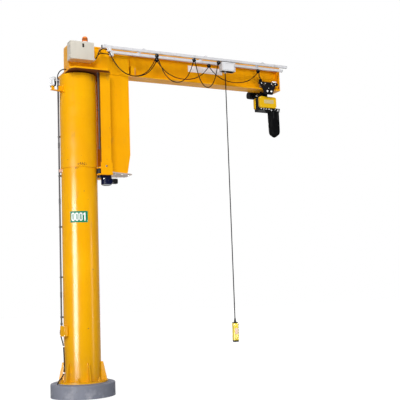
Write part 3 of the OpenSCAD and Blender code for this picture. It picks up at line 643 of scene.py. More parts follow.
def swung(point, degrees):
    """A point or a direction turned about the column's axis."""
    return Matrix.Rotation(math.radians(degrees), 3, "Z") @ Vector(point)


def fan(count, one, other, edge, place, lengthwise=False):
    """Blocks set round an axis through a place, as cooling fins are."""
    angles = [360 * k / count for k in range(count)]
    return [placed(block_piece("fin", one, other, edge, 1), place,
                   (a, 0, 0) if lengthwise else (0, 0, a)) for a in angles]


def joined(name, pieces):
    clear_selection()
    for obj in pieces:
        obj.select_set(True)
    bpy.context.view_layer.objects.active = pieces[0]
    if len(pieces) > 1:
        bpy.ops.object.join()
    pieces[0].name = name
    return pieces[0]


def fitted(obj, body, finish, *instead_of):
    """Paints a piece, fixes it to its body, and hides the solids that it stands for."""
    paint(obj, finish)
    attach(obj, body)
    if instead_of:
        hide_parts(*instead_of)


def fitted_set(name, pieces, body, finish, *instead_of):
    fitted(joined(name, pieces), body, finish, *instead_of)


def hex_bolt(size):
    """A hexagon head on its washer; size is the thread's diameter."""
    washer = turned("washer", [(0, size * 1.08), (size * 0.12, size * 1.1),
                               (size * 0.16, size * 1.04)], sides=24)
    head = turned("head", [(size * 0.15, size * 0.88), (size * 0.2, size * 0.93),
                           (size * 0.7, size * 0.93), (size * 0.8, size * 0.80)], sides=6)
    end = turned("end", [(size * 0.8, size * 0.5), (size * 1.0, size * 0.5),
                         (size * 1.06, size * 0.42)], sides=16)
    return joined("bolt", [washer, head, end])


def socket_screw(size):
    """A round head with a blind hole."""
    return turned("screw", [(0, size * 0.85), (size * 0.5, size * 0.85),
                            (size * 0.62, size * 0.72), (size * 0.62, size * 0.42),
                            (size * 0.25, size * 0.40)], sides=18)


def copies(source, spots):
    """Copies of a piece made along +Z, at places, each with the way that it looks."""
    made = []
    for place, way in spots:
        obj = source.copy()
        obj.data = source.data.copy()
        bpy.context.scene.collection.objects.link(obj)
        made.append(aim(obj, place, way))
    bpy.data.objects.remove(source, do_unlink=True)
    return made


def facing(way, places):
    return [(place, way) for place in places]


def grid(xs, ys, zs):
    return [(x, y, z) for x in xs for y in ys for z in zs]


def fasteners(name, kind, size, spots, body, finish="zinc_bolt"):
    """Bolts or screws of one size at places, each with the way that it looks."""
    first = hex_bolt(size) if kind == "bolt" else socket_screw(size)
    fitted_set(name, copies(first, spots), body, finish)


def change(obj, kind, **values):
    """Adds a modifier and applies it."""
    select_only(obj)
    made = obj.modifiers.new(kind.lower(), kind)
    for key, value in values.items():
        setattr(made, key, value)
    bpy.ops.object.modifier_apply(modifier=made.name)


def wrapped(obj, thickness, lift):
    """Curves a flat piece, drawn in X and Y, onto the column's front."""
    edit_all(obj)
    pick_faces(obj, UP)
    bpy.ops.mesh.select_all(action="INVERT")
    bpy.ops.mesh.delete(type="ONLY_FACE")
    for k in range(-15, 16):
        bpy.ops.mesh.select_all(action="SELECT")
        bpy.ops.mesh.bisect(plane_co=(0.008 * k, 0, 0), plane_no=(1, 0, 0))
    leave_edit()
    placed(obj, (0, -0.300, 2.270), (90, 0, 0))
    change(obj, "SHRINKWRAP", target=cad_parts["column_tube"], wrap_method="PROJECT",
           use_project_y=True, use_positive_direction=True, use_negative_direction=False,
           offset=0)
    change(obj, "SOLIDIFY", thickness=thickness, offset=0)
    return shade(placed(obj, (0, -lift, 0)))


# ---------------------------------------------------------------- column and base

BASE_TOP, COLUMN_R, TRACK_Z, BEAM_END = 0.195, 0.235, 2.920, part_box("jib_beam")[1][0]
CONDUIT_TURN, LID_TURN, LAMP_TURN, STOP_TURN, PLATE_TURN = 165, 197, 196, 176, -21.3
SADDLE_ZS = (0.990, 1.500, 2.150, 2.820, 3.340, 4.025)

threads = [(0.002 * k, 0.012 if k % 2 else 0.0112) for k in range(1, 24)]
anchor_nut = joined("anchor_nut", [
    turned("washer", [(0, 0.0222), (0.0035, 0.0226), (0.0045, 0.0215)], sides=28),
    turned("nut", [(0.004, 0.0195), (0.006, 0.0206), (0.022, 0.0206), (0.0245, 0.0180)], sides=6),
    turned("stud", [(0, 0.012), *threads, (0.048, 0.010)], sides=20)])
fitted_set("anchor_nuts", copies(anchor_nut, facing(UP, ring(0.27750, BASE_TOP, 6))), "mast",
           "column_yellow", "anchor_bolts")

for name, radius, z, width, parts, finish in (
        ("column_foot_weld", COLUMN_R + 0.002, BASE_TOP + 0.002, 0.009, 40, "column_yellow"),
        ("sleeve_foot_weld", COLUMN_R + 0.003, TRACK_Z - 0.001, 0.0075, 44, "sleeve_yellow"),
        ("column_cap_weld", COLUMN_R + 0.0025, 4.1400, 0.005, 44, "sleeve_yellow")):
    fitted_set(name, [bead(ring(radius, z, parts), width, True)], "mast", finish)
gusset_beads = []
for a in range(30, 390, 60):
    for side in (-0.0085, 0.0085):
        beside = polar(side, a + 90, 0)
        for r0, z0, r1, z1 in ((0.305, 0.196, 0.239, 0.196), (0.236, 0.201, 0.236, 0.424)):
            gusset_beads.append(bead([polar(r0, a, z0) + beside, polar(r1, a, z1) + beside],
                                     0.008))
fitted_set("gusset_welds", gusset_beads, "mast", "column_yellow")
fitted(turned("base_grout", [(0.168, 0.322), (0.1705, 0.334), (0.1735, 0.330), (0.1760, 0.322)],
              sides=96), "mast", "painted_concrete")

# conduit: joining sleeves, bushings, and saddles with their screws
conduit = 0.25930
sleeves = [turned("sleeve", band(0, 0.070, 0.0132, 0.0118), polar(conduit, CONDUIT_TURN, z))
           for z in (1.25, 2.46, 3.20)]
sleeves += [turned("bushing", [(0, 0.0095), (0.002, 0.0140), (0.016, 0.0140), (0.018, 0.0150),
                               (0.028, 0.0150), (0.030, 0.0118)],
                   polar(conduit, CONDUIT_TURN, z)) for z in (0.8985, 4.076)]
fitted_set("conduit_fittings", sleeves, "mast", "conduit_plastic")
fitted_set("conduit_saddles", [turned("strap", band(0, 0.022, 0.0146, 0.0140),
                                      polar(conduit, CONDUIT_TURN, z)) for z in SADDLE_ZS],
           "mast", "conduit_plastic")
fasteners("saddle_screws", "screw", 0.004, facing(polar(1, CONDUIT_TURN, 0), [
    polar(0.2745, CONDUIT_TURN, z + 0.011) for z in SADDLE_ZS]), "mast")

# junction box: a lid with a rim and screws
lid = block_piece("junction_lid", (0.2935, -0.0500, 0.763), (0.3005, 0.0500, 0.897), 0.003, 3)
sunk_panel(lid, OUT, 0.010, -0.0012)
fitted(swing(lid, LID_TURN), "mast", "column_yellow")
fasteners("junction_lid_screws", "screw", 0.004, facing(polar(1, LID_TURN, 0), [
    swung(place, LID_TURN) for place in grid((0.3005,), (-0.041, 0.041), (0.772, 0.888))]),
    "mast")

# feed cable clips on the column
clips = []
for z in (0.640, 0.310):
    here = min(smooth_route(feed), key=lambda p: abs(p.z - z))
    clips.append(turned("clip", band(-0.009, 0.009, 0.0104, 0.0088), here))
    heel = block_piece("clip_foot", (-0.016, -0.006, -0.008), (0.004, 0.006, 0.008), 0.0012)
    clips.append(placed(heel, here, (0, 0, math.degrees(math.atan2(here.y, here.x)))))
fitted_set("feed_cable_clips", clips, "mast", "white_plastic")

# floodlight: finned housing, glass with its frame, hinge bracket
LAMP_X, LAMP_LOW, LAMP_HIGH = 0.3593, 3.988, 4.098


def lamp_block(x0, y0, z0, x1, y1, z1, edge, steps=2):
    """A block whose X is from the lamp's back, and whose Z is from its two ends inward."""
    return block_piece("lamp_part", (LAMP_X + x0, y0, LAMP_LOW + z0),
                       (LAMP_X + x1, y1, LAMP_HIGH - z1), edge, steps)


lamp_parts = [sunk_panel(lamp_block(0.014, -0.050, 0, 0.040, 0.050, 0, 0.006, 3), OUT, 0.006,
                         -0.004),
              sunk_panel(lamp_block(0.038, -0.050, 0, 0.0475, 0.050, 0, 0.003, 3), OUT, 0.009,
                         -0.0045)]
for k in range(-5, 6):
    lamp_parts.append(lamp_block(0, k * 0.0086 - 0.0012, 0.008, 0.016, k * 0.0086 + 0.0012,
                                 0.008, 0.0006))
fitted(swing(joined("floodlight_housing", lamp_parts), LAMP_TURN), "mast", "lamp_aluminium",
       "floodlight")
glass = joined("lamp_glass", [lamp_block(0.042, -0.0395, 0.0105, 0.0445, 0.0395, 0.0105, 0.001)])
fitted(swing(glass, LAMP_TURN), "mast", "lamp_glass")
yoke = [lamp_block(0.012, s * 0.0545, -0.010, 0.034, s * 0.0515, 0.040, 0.001) for s in SIDES]
yoke.append(lamp_block(0.012, -0.0545, -0.012, 0.034, 0.0545, 0.119, 0.001))
fitted(swing(joined("lamp_yoke", yoke), LAMP_TURN), "mast", "black_enamel")
fasteners("lamp_yoke_bolts", "bolt", 0.006,
          [(swung((LAMP_X + 0.023, s * 0.0545, LAMP_LOW + 0.055), LAMP_TURN),
            swung((0, s, 0), LAMP_TURN)) for s in SIDES], "mast")
fasteners("lamp_arm_bolts", "bolt", 0.008,
          facing(UP, [polar(r, LAMP_TURN, 3.9362) for r in (0.300, 0.350)]), "mast")

# slew stop: a rubber buffer in a steel cup
stop_foot, stop_line = polar(0.225, STOP_TURN, 2.890), polar(1, STOP_TURN, 0)
fitted(turned("slew_stop_buffer", [(0.0085, 0.0235), (0.012, 0.0242), (0.030, 0.0242),
                                   (0.040, 0.0205), (0.044, 0.0140), (0.0455, 0.0070)],
              stop_foot, stop_line, 40), "mast", "stop_rubber", "slew_stop")
fitted(turned("slew_stop_seat", [(-0.004, 0.0150), (0.006, 0.0150), (0.0065, 0.0245),
                                 (0.0095, 0.0250), (0.0105, 0.0245)], stop_foot, stop_line, 40),
       "mast", "zinc_bolt")

# number plate and digits, curved to the column
face = plate("number_plate", rounded_outline(0.222, 0.146, 0.008), 0.001, 0.0002)
fitted(swing(wrapped(face, 0.0012, 0.0004), PLATE_TURN), "mast", "green_plate")
digits = [placed(plate("zero", rounded_outline(0.041, 0.106, 0.0204), 0.001, 0.0002,
                       [rounded_outline(0.015, 0.078, 0.0074)]), (x, 0, 0))
          for x in (-0.076, -0.026, 0.024)]
digits.append(plate("one", [(0.066, -0.053), (0.082, -0.053), (0.082, 0.053), (0.071, 0.053),
                            (0.052, 0.036), (0.052, 0.020), (0.066, 0.029)], 0.001, 0.0002))
fitted(swing(wrapped(joined("plate_digits", digits), 0.0006, 0.0018), PLATE_TURN), "mast",
       "plate_white")
RIVET_X, RIVET_R = 0.112, 0.2362
across, ahead = RIVET_X / COLUMN_R, math.cos(math.asin(RIVET_X / COLUMN_R))
fasteners("plate_rivets", "screw", 0.003,
          [(swung((s * RIVET_X, -RIVET_R * ahead, z), PLATE_TURN),
            swung((s * across, -ahead, 0), PLATE_TURN)) for s in SIDES for z in (2.212, 2.328)],
          "mast")

# ---------------------------------------------------------------- jib, head and hanging frame

fitted_set("head_welds", side_beads([
    (0.1055, -0.150, 4.2325, 0.690, 4.2325), (0.105, 0.6905, 4.236, 0.6905, 4.552),
    (0.111, -0.130, 4.2135, 0.360, 4.2135)], 0.0065) + side_beads([
        (0.1885, 0.226, 4.187, 0.364, 4.187), (0.2405, 0.226, 4.187, 0.364, 4.187)]),
    "jib", "jib_yellow")
fitted_set("frame_welds", side_beads([
    (0.1055, 0.400, 2.868, 0.400, 4.205), (0.106, 0.402, 4.2115, 0.684, 4.2115),
    (0.106, 0.402, 2.8660, 0.640, 2.8660)]), "jib", "jib_yellow")
fitted_set("bracket_welds", side_beads([(0.2405, 0.218, 2.983, 0.372, 2.983)]), "jib",
           "jib_yellow")
fasteners("bracket_bolts", "bolt", 0.012,
          [((0.290, s * 0.2525, 2.935), (0, s, 0)) for s in SIDES], "jib", "old_bolt")

# the head's squared corner, and closing plates at the beam's outer end
fitted(block_piece("head_corner", (-0.1565, -0.1100, 4.5240), (-0.1060, 0.1100, 4.5745), 0.009,
                   4), "jib", "jib_yellow")
fitted_set("beam_end_plates", [
    block_piece("end_plate", (BEAM_END - 0.0125, s * 0.004, 4.2240),
                (BEAM_END - 0.0015, s * 0.109, 4.5620), 0.0015) for s in SIDES],
    "jib", "jib_yellow")
fasteners("end_plate_bolts", "bolt", 0.009, facing((-1, 0, 0), grid(
    (BEAM_END - 0.0125,), (-0.088, 0.088), (4.262, 4.525))), "jib", "old_bolt")

# guide rollers: nuts on the axles
for name, side in (("front", -1), ("rear", 1)):
    fitted_set(f"roller_nuts_{name}", [
        turned("nut", [(0, 0.0165), (0.002, 0.0178), (0.012, 0.0178), (0.014, 0.0158)],
               polar(0.2853, 36 * side, 2.9205), sides=6),
        turned("nut", [(0, 0.0158), (0.002, 0.0178), (0.010, 0.0178), (0.012, 0.0165)],
               polar(0.2853, 36 * side, 2.8075), sides=6)], f"roller_{name}", "old_bolt")

# slewing motor: fan cowl with its grille, fins, terminal box and flange bolts
MOTOR_X, MOTOR_Y, GRILLE_R = 0.320, -0.150, 0.048
motor_axis = (MOTOR_X, MOTOR_Y, 0)
fitted(turned("motor_cowl", [(2.7000, 0.0640), (2.7010, 0.0652), (2.7100, 0.0705),
                             (2.7180, 0.0712), (2.7190, 0.0700)], motor_axis, sides=48), "jib",
       "motor_enamel")
fitted(turned("motor_rim", [(2.6925, 0.0500), (2.6928, 0.0560), (2.6960, 0.0610),
                            (2.7005, 0.0645)], motor_axis, sides=48), "jib", "grey_metal")
grille = []
for y in (-0.036, -0.024, -0.012, 0, 0.012, 0.024, 0.036):
    half = math.sqrt(GRILLE_R ** 2 - y * y)
    grille.append(bead([(MOTOR_X - half, MOTOR_Y + y, 2.6925),
                        (MOTOR_X + half, MOTOR_Y + y, 2.6925)], 0.0022))
fitted_set("motor_grille", grille, "jib", "black_plastic")
fins = fan(30, (0.060, -0.0012, 2.7195), (0.0708, 0.0012, 2.7740), 0.0006, motor_axis)
fins.append(turned("motor_flange", [(2.7760, 0.0690), (2.7765, 0.0705), (2.7885, 0.0705),
                                    (2.7895, 0.0690)], motor_axis, sides=48))
fitted_set("motor_fins", fins, "jib", "motor_enamel")
terminal = block_piece("terminal_lid", (0.390, -0.1865, 2.718), (0.468, -0.1135, 2.782), 0.004, 3)
sunk_panel(terminal, FRONT, 0.007, 0.002)
fitted(sunk_panel(terminal, OUT, 0.008, 0.002), "jib", "black_plastic")
fitted(upright_plate("terminal_plate", 0.040, 0.030, 0.003, 0.0012, 0.0003,
                     (0.432, -0.1845, 2.750)), "jib", "grey_metal")
fasteners("terminal_screws", "screw", 0.004,
          facing(FRONT, grid((0.396, 0.462), (-0.1865,), (2.724, 2.776))), "jib")
fasteners("motor_bolts", "bolt", 0.007, facing(DOWN, [
    (MOTOR_X + 0.060 * math.cos(a), MOTOR_Y + 0.060 * math.sin(a), 2.7765)
    for a in (0.6, 2.2, 3.8, 5.4)]), "jib")
fasteners("foot_plate_bolts", "bolt", 0.010, facing(DOWN, [
    (x, s * y, 2.8500) for x, y in ((0.440, 0.150), (0.560, 0.110), (0.660, 0.085))
    for s in SIDES]), "jib")

# ---------------------------------------------------------------- control box and beacon

fitted(block_piece("door_panel", (-0.1725, -0.2615, 4.3325), (0.1485, -0.2420, 4.5735), 0.004, 3),
       "door", "grey_enamel")
fitted(sunk_panel(block_piece("door_gasket", (-0.166, -0.2425, 4.339), (0.142, -0.2404, 4.567),
                              0.0008), BACK, 0.012, -0.001), "door", "black_plastic")
fitted(upright_plate("door_lock", 0.022, 0.048, 0.0075, 0.0055, 0.0015,
                     (-0.002, -0.2610, 4.521)), "door", "black_plastic")
fitted(turned("lock_barrel", [(0, 0.0070), (0.0010, 0.0076), (0.0022, 0.0070),
                              (0.0014, 0.0045)], (-0.002, -0.2664, 4.531), FRONT, 24), "door",
       "old_bolt")
fitted(block_piece("box_rain_lip", (-0.1740, -0.2400, 4.5715), (0.1500, -0.1110, 4.5755),
                   0.0015), "jib", "grey_enamel")
glands = []
for y in (-0.210, -0.170):
    gland = (0.1482, y, 4.363)
    glands += [turned("gland", [(0, 0.0150), (0.001, 0.0162), (0.006, 0.0162), (0.007, 0.0148)],
                      gland, OUT, 6),
               turned("gland_dome", [(0.0065, 0.0135), (0.0210, 0.0135), (0.0250, 0.0120),
                                     (0.0300, 0.0095), (0.0320, 0.0078)], gland, OUT, 24)]
fitted_set("box_glands", glands, "jib", "white_plastic")

beacon_axis = (0.050, -0.180, 0)
fitted(turned("beacon_dome", [
    (4.5965, 0.0370), (4.5980, 0.0380), (4.6360, 0.0380), (4.6430, 0.0374), (4.6500, 0.0357),
    (4.6570, 0.0328), (4.6630, 0.0288), (4.6680, 0.0238), (4.6720, 0.0170), (4.6740, 0.0100),
    (4.6748, 0.0030)], beacon_axis, sides=48), "jib", "beacon_orange", "beacon")
base = [turned("beacon_base", [(4.5730, 0.0450), (4.5738, 0.0460), (4.5900, 0.0460),
                               (4.5930, 0.0445), (4.5960, 0.0400), (4.5968, 0.0385)],
               beacon_axis, sides=48)]
base += fan(16, (0.0445, -0.0016, 4.5745), (0.0475, 0.0016, 4.5900), 0.0007, beacon_axis)
fitted_set("beacon_base", base, "jib", "white_plastic")
fitted_set("beacon_rings", [
    turned("ring", band(z, z + 0.0022, 0.0388, 0.0378, 0.0006), beacon_axis, sides=48)
    for z in (4.604, 4.612, 4.620, 4.628)], "jib", "beacon_orange")

# ---------------------------------------------------------------- rails and festoon carriers

RAIL_LOW, RAIL_TOP, SPLICE_XS, RAIL_YS = 4.489, 4.525, (1.30, 2.25), (CONTROL_Y, HOIST_Y)
fitted_set("rail_caps", [
    block_piece("cap", (x, y - 0.0185, RAIL_LOW - 0.0005),
                (x + way * 0.003, y + 0.0185, RAIL_TOP + 0.0005), 0.0008)
    for x, y, way in ((0.225, CONTROL_Y, -1), (3.095, CONTROL_Y, 1), (0.385, HOIST_Y, -1),
                      (3.142, HOIST_Y, 1))], "jib", "black_plastic")
fitted_set("rail_splices", [
    block_piece("splice", (x - 0.060, y + s * 0.0197 - 0.0015, 4.493),
                (x + 0.060, y + s * 0.0197 + 0.0015, 4.521), 0.0008)
    for x in SPLICE_XS for y in RAIL_YS for s in SIDES], "jib", "zinc")
fasteners("splice_bolts", "bolt", 0.005, facing(FRONT, [
    (x + dx, y - 0.0212, 4.507) for x in SPLICE_XS for y in RAIL_YS for dx in (-0.040, 0.040)]),
    "jib")
fasteners("arm_bolts", "bolt", 0.007, facing(UP, [
    (0.275, CONTROL_Y, 4.5375), *grid((0.81628, 1.75528, 2.68489), RAIL_YS, (4.5375,))]), "jib")
fasteners("end_clamp_screws", "screw", 0.005, facing(FRONT, [
    (x, y - 0.0165, z) for x, y in ((0.323, CONTROL_Y), (0.423, HOIST_Y))
    for z in (4.460, 4.479)]), "jib")


def wheel(place, sides):
    return turned("wheel", [(-0.0095, 0.0040), (-0.0090, 0.0072), (0.0090, 0.0072),
                            (0.0095, 0.0040)], place, BACK, sides)


def festoon_carrier(node, x, y):
    """A carrier: a saddle that spreads the cable's bend, a clamp bar, a neck and rollers."""
    clamp = block_piece("clamp", (x - 0.0235, y - 0.0150, 4.4500),
                        (x + 0.0235, y + 0.0150, 4.4805), 0.0035, 3)
    sunk_panel(clamp, FRONT, 0.005, -0.0015)
    sunk_panel(clamp, BACK, 0.005, -0.0015)
    saddle = turned("saddle", [(-0.015, 0.0090), (-0.0145, 0.0195), (-0.0125, 0.0205),
                               (0.0125, 0.0205), (0.0145, 0.0195), (0.015, 0.0090)],
                    (x, y, 4.4545), BACK, 32)
    neck = block_piece("neck", (x - 0.0140, y - 0.0030, 4.4800), (x + 0.0140, y + 0.0030, 4.4930),
                       0.0008)
    wheels = [turned("wheel", [(-0.0095, 0.0040), (-0.0090, 0.0072), (-0.0035, 0.0076),
                               (0.0035, 0.0076), (0.0090, 0.0072), (0.0095, 0.0040)],
                     (x + dx, y, 4.5000), BACK, 24) for dx in (-0.013, 0.013)]
    fitted_set(f"{node}_detail", [clamp, saddle, neck, *wheels], node, "black_plastic", node)
    fasteners(f"{node}_detail_screws", "screw", 0.004,
              facing(FRONT, [(x + dx, y - 0.0140, 4.4700) for dx in (-0.012, 0.012)]), node)


for line, (y, stops, _) in festoons.items():
    for k in (1, 2, 3):
        festoon_carrier(f"{line}_carrier_{k}", stops[k], y)

# a bare white plate on the web, the stops' pads and welds, the motor conduit's fittings
fitted(upright_plate("web_plate", 0.556, 0.092, 0.004, 0.0015, 0.0004,
                     (1.921, -0.0055, 4.4400)), "jib", "plate_white")
fitted_set("stop_pads", [
    block_piece("pad", (x0, s * 0.030, 4.250), (x1, s * 0.072, top), 0.003, 3) for s in SIDES
    for x0, x1, top in ((0.7895, 0.8020, 4.352), (3.0500, 3.0605, 4.312))], "jib", "stop_rubber")
fitted_set("stop_welds", side_beads([(0.0805, x, 4.2325, x + 0.055, 4.2325)
                                     for x in (0.735, 3.060)]), "jib", "jib_yellow")
fitted(turned("cable_tie", band(-0.003, 0.003, 0.0112, 0.0100, 0.0005), (0.300, -0.349, 4.470),
              OUT, 24), "jib", "white_plastic")
fitted_set("motor_conduit_fittings", [
    turned("strap", band(0, 0.024, 0.0114, 0.0108), (0.213, -0.205, z)) for z in (3.180, 3.680)
] + [turned("bushing", [(0, 0.0075), (0.002, 0.0105), (0.014, 0.0105), (0.016, 0.0085)],
            (0.213, -0.205, 3.158))], "jib", "conduit_plastic")

# ---------------------------------------------------------------- pendant control

fitted_set("pendant_box", [
    sunk_panel(block_piece("box", (1.9920, -0.4000, 4.3430), (2.2000, -0.3000, 4.4610), 0.006,
                           3), FRONT, 0.010, 0.0015),
    block_piece("box_lid", (1.9890, -0.4020, 4.4560), (2.2030, -0.2980, 4.4685), 0.003, 3)],
    "pendant", "white_plastic")
fitted(block_piece("pendant_top_bar", (1.9990, -0.3730, 4.4688), (2.2015, -0.3270, 4.4818)),
       "pendant", "black_plastic")
hangers = []
for x in (2.062, 2.172):
    hangers.append(block_piece("hanger", (x - 0.0150, -0.3540, 4.4690),
                               (x + 0.0150, -0.3460, 4.4930), 0.001))
    hangers += [wheel((x + dx, CONTROL_Y, 4.500), 20) for dx in (-0.013, 0.013)]
fitted_set("pendant_hangers", hangers, "pendant", "zinc")
fasteners("pendant_bar_bolts", "bolt", 0.005,
          facing(UP, grid((2.012, 2.120, 2.190), (CONTROL_Y,), (4.4818,))), "pendant")
fasteners("pendant_box_screws", "screw", 0.004,
          facing(FRONT, grid((2.000, 2.192), (-0.4015,), (4.350, 4.450))), "pendant")
station_axis = (STATION_X, STATION_Y, 0)
fitted_set("pendant_gland", [
    turned("gland", [(4.3430, 0.0165), (4.3420, 0.0182), (4.3340, 0.0182), (4.3330, 0.0165)],
           station_axis, sides=6),
    turned("gland_dome", [(4.3335, 0.0155), (4.3260, 0.0155), (4.3225, 0.0138),
                          (4.3195, 0.0095), (4.3180, 0.0080)], station_axis, sides=24)],
    "pendant", "black_plastic")


# the pendant station: shell, foot, collar, strain relief, buttons and a bare label
def station_skin(name, width, depth, levels):
    """A skin about the station's axis: levels are height, and scale across and deep."""
    return shade(lofted(name, rounded_outline(width, depth, 0.012),
                        [(z, STATION_X, STATION_Y, sx, sy) for z, sx, sy in levels]))


fitted(station_skin("station_shell", 0.076, 0.060, [
    (0.586, 0.92, 0.92), (0.590, 1, 1), (0.640, 1, 1), (0.646, 0.95, 0.96), (0.770, 0.95, 0.96),
    (0.776, 1, 1), (0.812, 0.98, 0.98), (0.820, 0.80, 0.84)]), "pendant", "station_yellow")
foot = station_skin("station_foot", 0.070, 0.056, [
    (0.564, 0.93, 0.93), (0.567, 1, 1), (0.584, 1.02, 1.02), (0.588, 0.95, 0.95)])
collar = station_skin("station_collar", 0.066, 0.054, [
    (0.817, 1, 1), (0.822, 1.06, 1.06), (0.828, 1.0, 1.0), (0.831, 0.6, 0.6)])
bellows = [(0.832 + 0.006 * k, (0.0165 if k % 2 else 0.0140) - 0.0006 * k) for k in range(9)]
boot = turned("strain_relief", [(0.829, 0.0170), *bellows, (0.888, 0.0078)], station_axis,
              sides=28)
fitted_set("station_rubber", [foot, collar, boot], "pendant", "black_plastic",
           "pendant_station")


def buttons(name, steps, first, count):
    """Turned pieces on the station's button side, from a button's number up."""
    return joined(name, [turned("button", steps, (STATION_X, STATION_Y, 0.610 + 0.037 * k), OUT,
                                28) for k in range(first, first + count)])


fitted(buttons("button_rims", [(0.0365, 0.0150), (0.0370, 0.0158), (0.0395, 0.0158),
                               (0.0400, 0.0148)], 0, 6), "pendant", "black_plastic")
fitted(buttons("push_buttons", [(0.0370, 0.0118), (0.0450, 0.0118), (0.0465, 0.0108),
                                (0.0472, 0.0080)], 0, 5), "pendant", "black_plastic")
fitted(buttons("stop_button", [(0.0370, 0.0080), (0.0420, 0.0080), (0.0430, 0.0130),
                               (0.0475, 0.0138), (0.0490, 0.0120)], 5, 1), "pendant",
       "red_plastic")
fitted(upright_plate("station_label", 0.046, 0.080, 0.005, 0.0012, 0.0003,
                     (STATION_X, -0.3788, 0.7080)), "pendant", "station_label")
fasteners("station_screws", "screw", 0.0035, facing(FRONT, grid(
    (STATION_X - 0.026, STATION_X + 0.026), (-0.3795,), (0.604, 0.800))), "pendant")

# ---------------------------------------------------------------- trolley

AXLE_XS, ROD_XS, DRIVE_Y, DRIVE_Z = (2.825, 2.975), (2.866, 2.934), 0.205, 4.187
fasteners("axle_nuts", "bolt", 0.012, [((x, s * 0.1505, 4.2713), (0, s, 0)) for x in AXLE_XS
                                       for s in SIDES], "trolley", "old_bolt")
fasteners("rod_nuts", "bolt", 0.014, facing(FRONT, grid(ROD_XS, (-0.1685,), (4.1750,))),
          "trolley", "bright_steel")
fasteners("plate_bolts", "bolt", 0.008, facing(FRONT, [
    *grid((2.780, 2.845, 2.955, 3.020), (-0.1500,), (4.295,)), (2.900, -0.1500, 4.225)]),
    "trolley")
fitted_set("rod_spacers", [
    turned("spacer", band(0, 0.0068, 0.0165, 0.0155, 0.0006), (x, s * (0.137 - 0.008 * k), 4.175),
           (0, -s, 0), 24) for x in ROD_XS for k in range(3) for s in SIDES],
    "trolley", "zinc_bolt")
fitted_set("trolley_skins", [
    placed(plate("skin", [(-0.118, 4.266), (0.118, 4.266), (0.060, 4.136), (-0.060, 4.136)],
                 0.0025, 0.0008), (2.900, s * 0.1512 + 0.00125, 0), (90, 0, 0)) for s in SIDES],
    "trolley", "black_enamel")
fitted(sunk_panel(block_piece("switch_bracket", (2.976, -0.1515, 4.3190),
                              (3.044, -0.1120, 4.3390), 0.003, 3), UP, 0.006, -0.0015),
       "trolley", "bright_steel")
fitted(block_piece("tow_box", (2.748, -0.1515, 4.3170), (2.792, -0.1180, 4.3512), 0.003, 3),
       "trolley", "black_plastic")
fitted_set("trolley_bumpers", [
    turned("bumper", [(0, 0.0130), (0.004, 0.0130), (0.005, 0.0160), (0.014, 0.0150),
                      (0.018, 0.0100)], (x, s * 0.144, 4.295), (way, 0, 0), 20)
    for x, way in ((2.7500, -1), (3.0500, 1)) for s in SIDES], "trolley", "stop_dark")

fitted_set("drive_fins", fan(28, (2.790, -0.0010, 0.0500), (2.905, 0.0010, 0.0545), 0.0005,
                             (0, DRIVE_Y, DRIVE_Z), True), "trolley", "black_enamel")
fitted(turned("drive_cowl", [(0, 0.0400), (0.0015, 0.0480), (0.0050, 0.0528), (0.0340, 0.0535),
                             (0.0345, 0.0525)], (2.7485, DRIVE_Y, DRIVE_Z), OUT, 40),
       "trolley", "black_plastic")
gear_lid = block_piece("drive_gear_lid", (2.9180, 0.1510, 4.1430), (3.0120, 0.2420, 4.2430),
                       0.004, 3)
sunk_panel(gear_lid, BACK, 0.010, -0.002)
fitted(sunk_panel(gear_lid, OUT, 0.010, -0.002), "trolley", "black_enamel")
fasteners("gear_lid_bolts", "screw", 0.005,
          facing(BACK, grid((2.923, 3.007), (0.2420,), (4.149, 4.237))), "trolley")

# ---------------------------------------------------------------- hoist

HOIST_X, HOIST_Z = 2.916, 4.026


def hoist_cover(side):
    """A pressed cover with rounded corners, a raised band and a sunk face."""
    cover = plate("cover", rounded_outline(0.277, 0.158, 0.024, 8), 0.0455, 0.007)
    sunk_panel(cover, UP, 0.010, -0.0025, 0.0025)
    return shade(placed(cover, (HOIST_X, side * 0.0500, HOIST_Z), (-90 * side, 0, 0)))


fitted_set("hoist_cover_pair", [hoist_cover(-1), hoist_cover(1)], "trolley", "hoist_yellow",
           "hoist_covers")
fitted(upright_plate("hoist_panel", 0.165, 0.056, 0.010, 0.0016, 0.0005,
                     (2.930, -0.0930, 4.036)), "trolley", "pale_panel")
fasteners("cover_screws", "screw", 0.0045,
          [((HOIST_X + dx, s * 0.0945, HOIST_Z + dz), (0, s, 0)) for s in SIDES
           for dx in (-0.128, 0.128) for dz in (-0.068, 0.068)], "trolley")
ribs = [block_piece("rib", (x, -0.0495, 4.0925), (x + 0.006, 0.0495, 4.0975), 0.001, 1)
        for x in (2.798 + 0.0226 * k for k in range(11))]
ribs += [block_piece("rib", (x, -0.0480, z), (x + 0.003, 0.0480, z + 0.008), 0.001, 1)
         for z in (3.965, 3.990, 4.015, 4.040, 4.065) for x in (2.7835, 3.0465)]
fitted_set("hoist_ribs", ribs, "trolley", "black_enamel")
fasteners("guide_bolts", "bolt", 0.008, facing(FRONT, grid(
    (2.805, 2.850, 2.895, 2.945, 3.050, 3.105), (-0.0705,), (3.9270,))), "trolley",
    "bright_steel")
fasteners("guide_bolts_rear", "bolt", 0.008,
          facing(BACK, grid((2.82, 2.90, 3.00, 3.10), (0.0955,), (3.9270,))), "trolley",
          "bright_steel")
fitted(block_piece("guide_rim", (2.7890, -0.0720, 3.9400), (3.1340, 0.0970, 3.9480)), "trolley",
       "black_plastic")

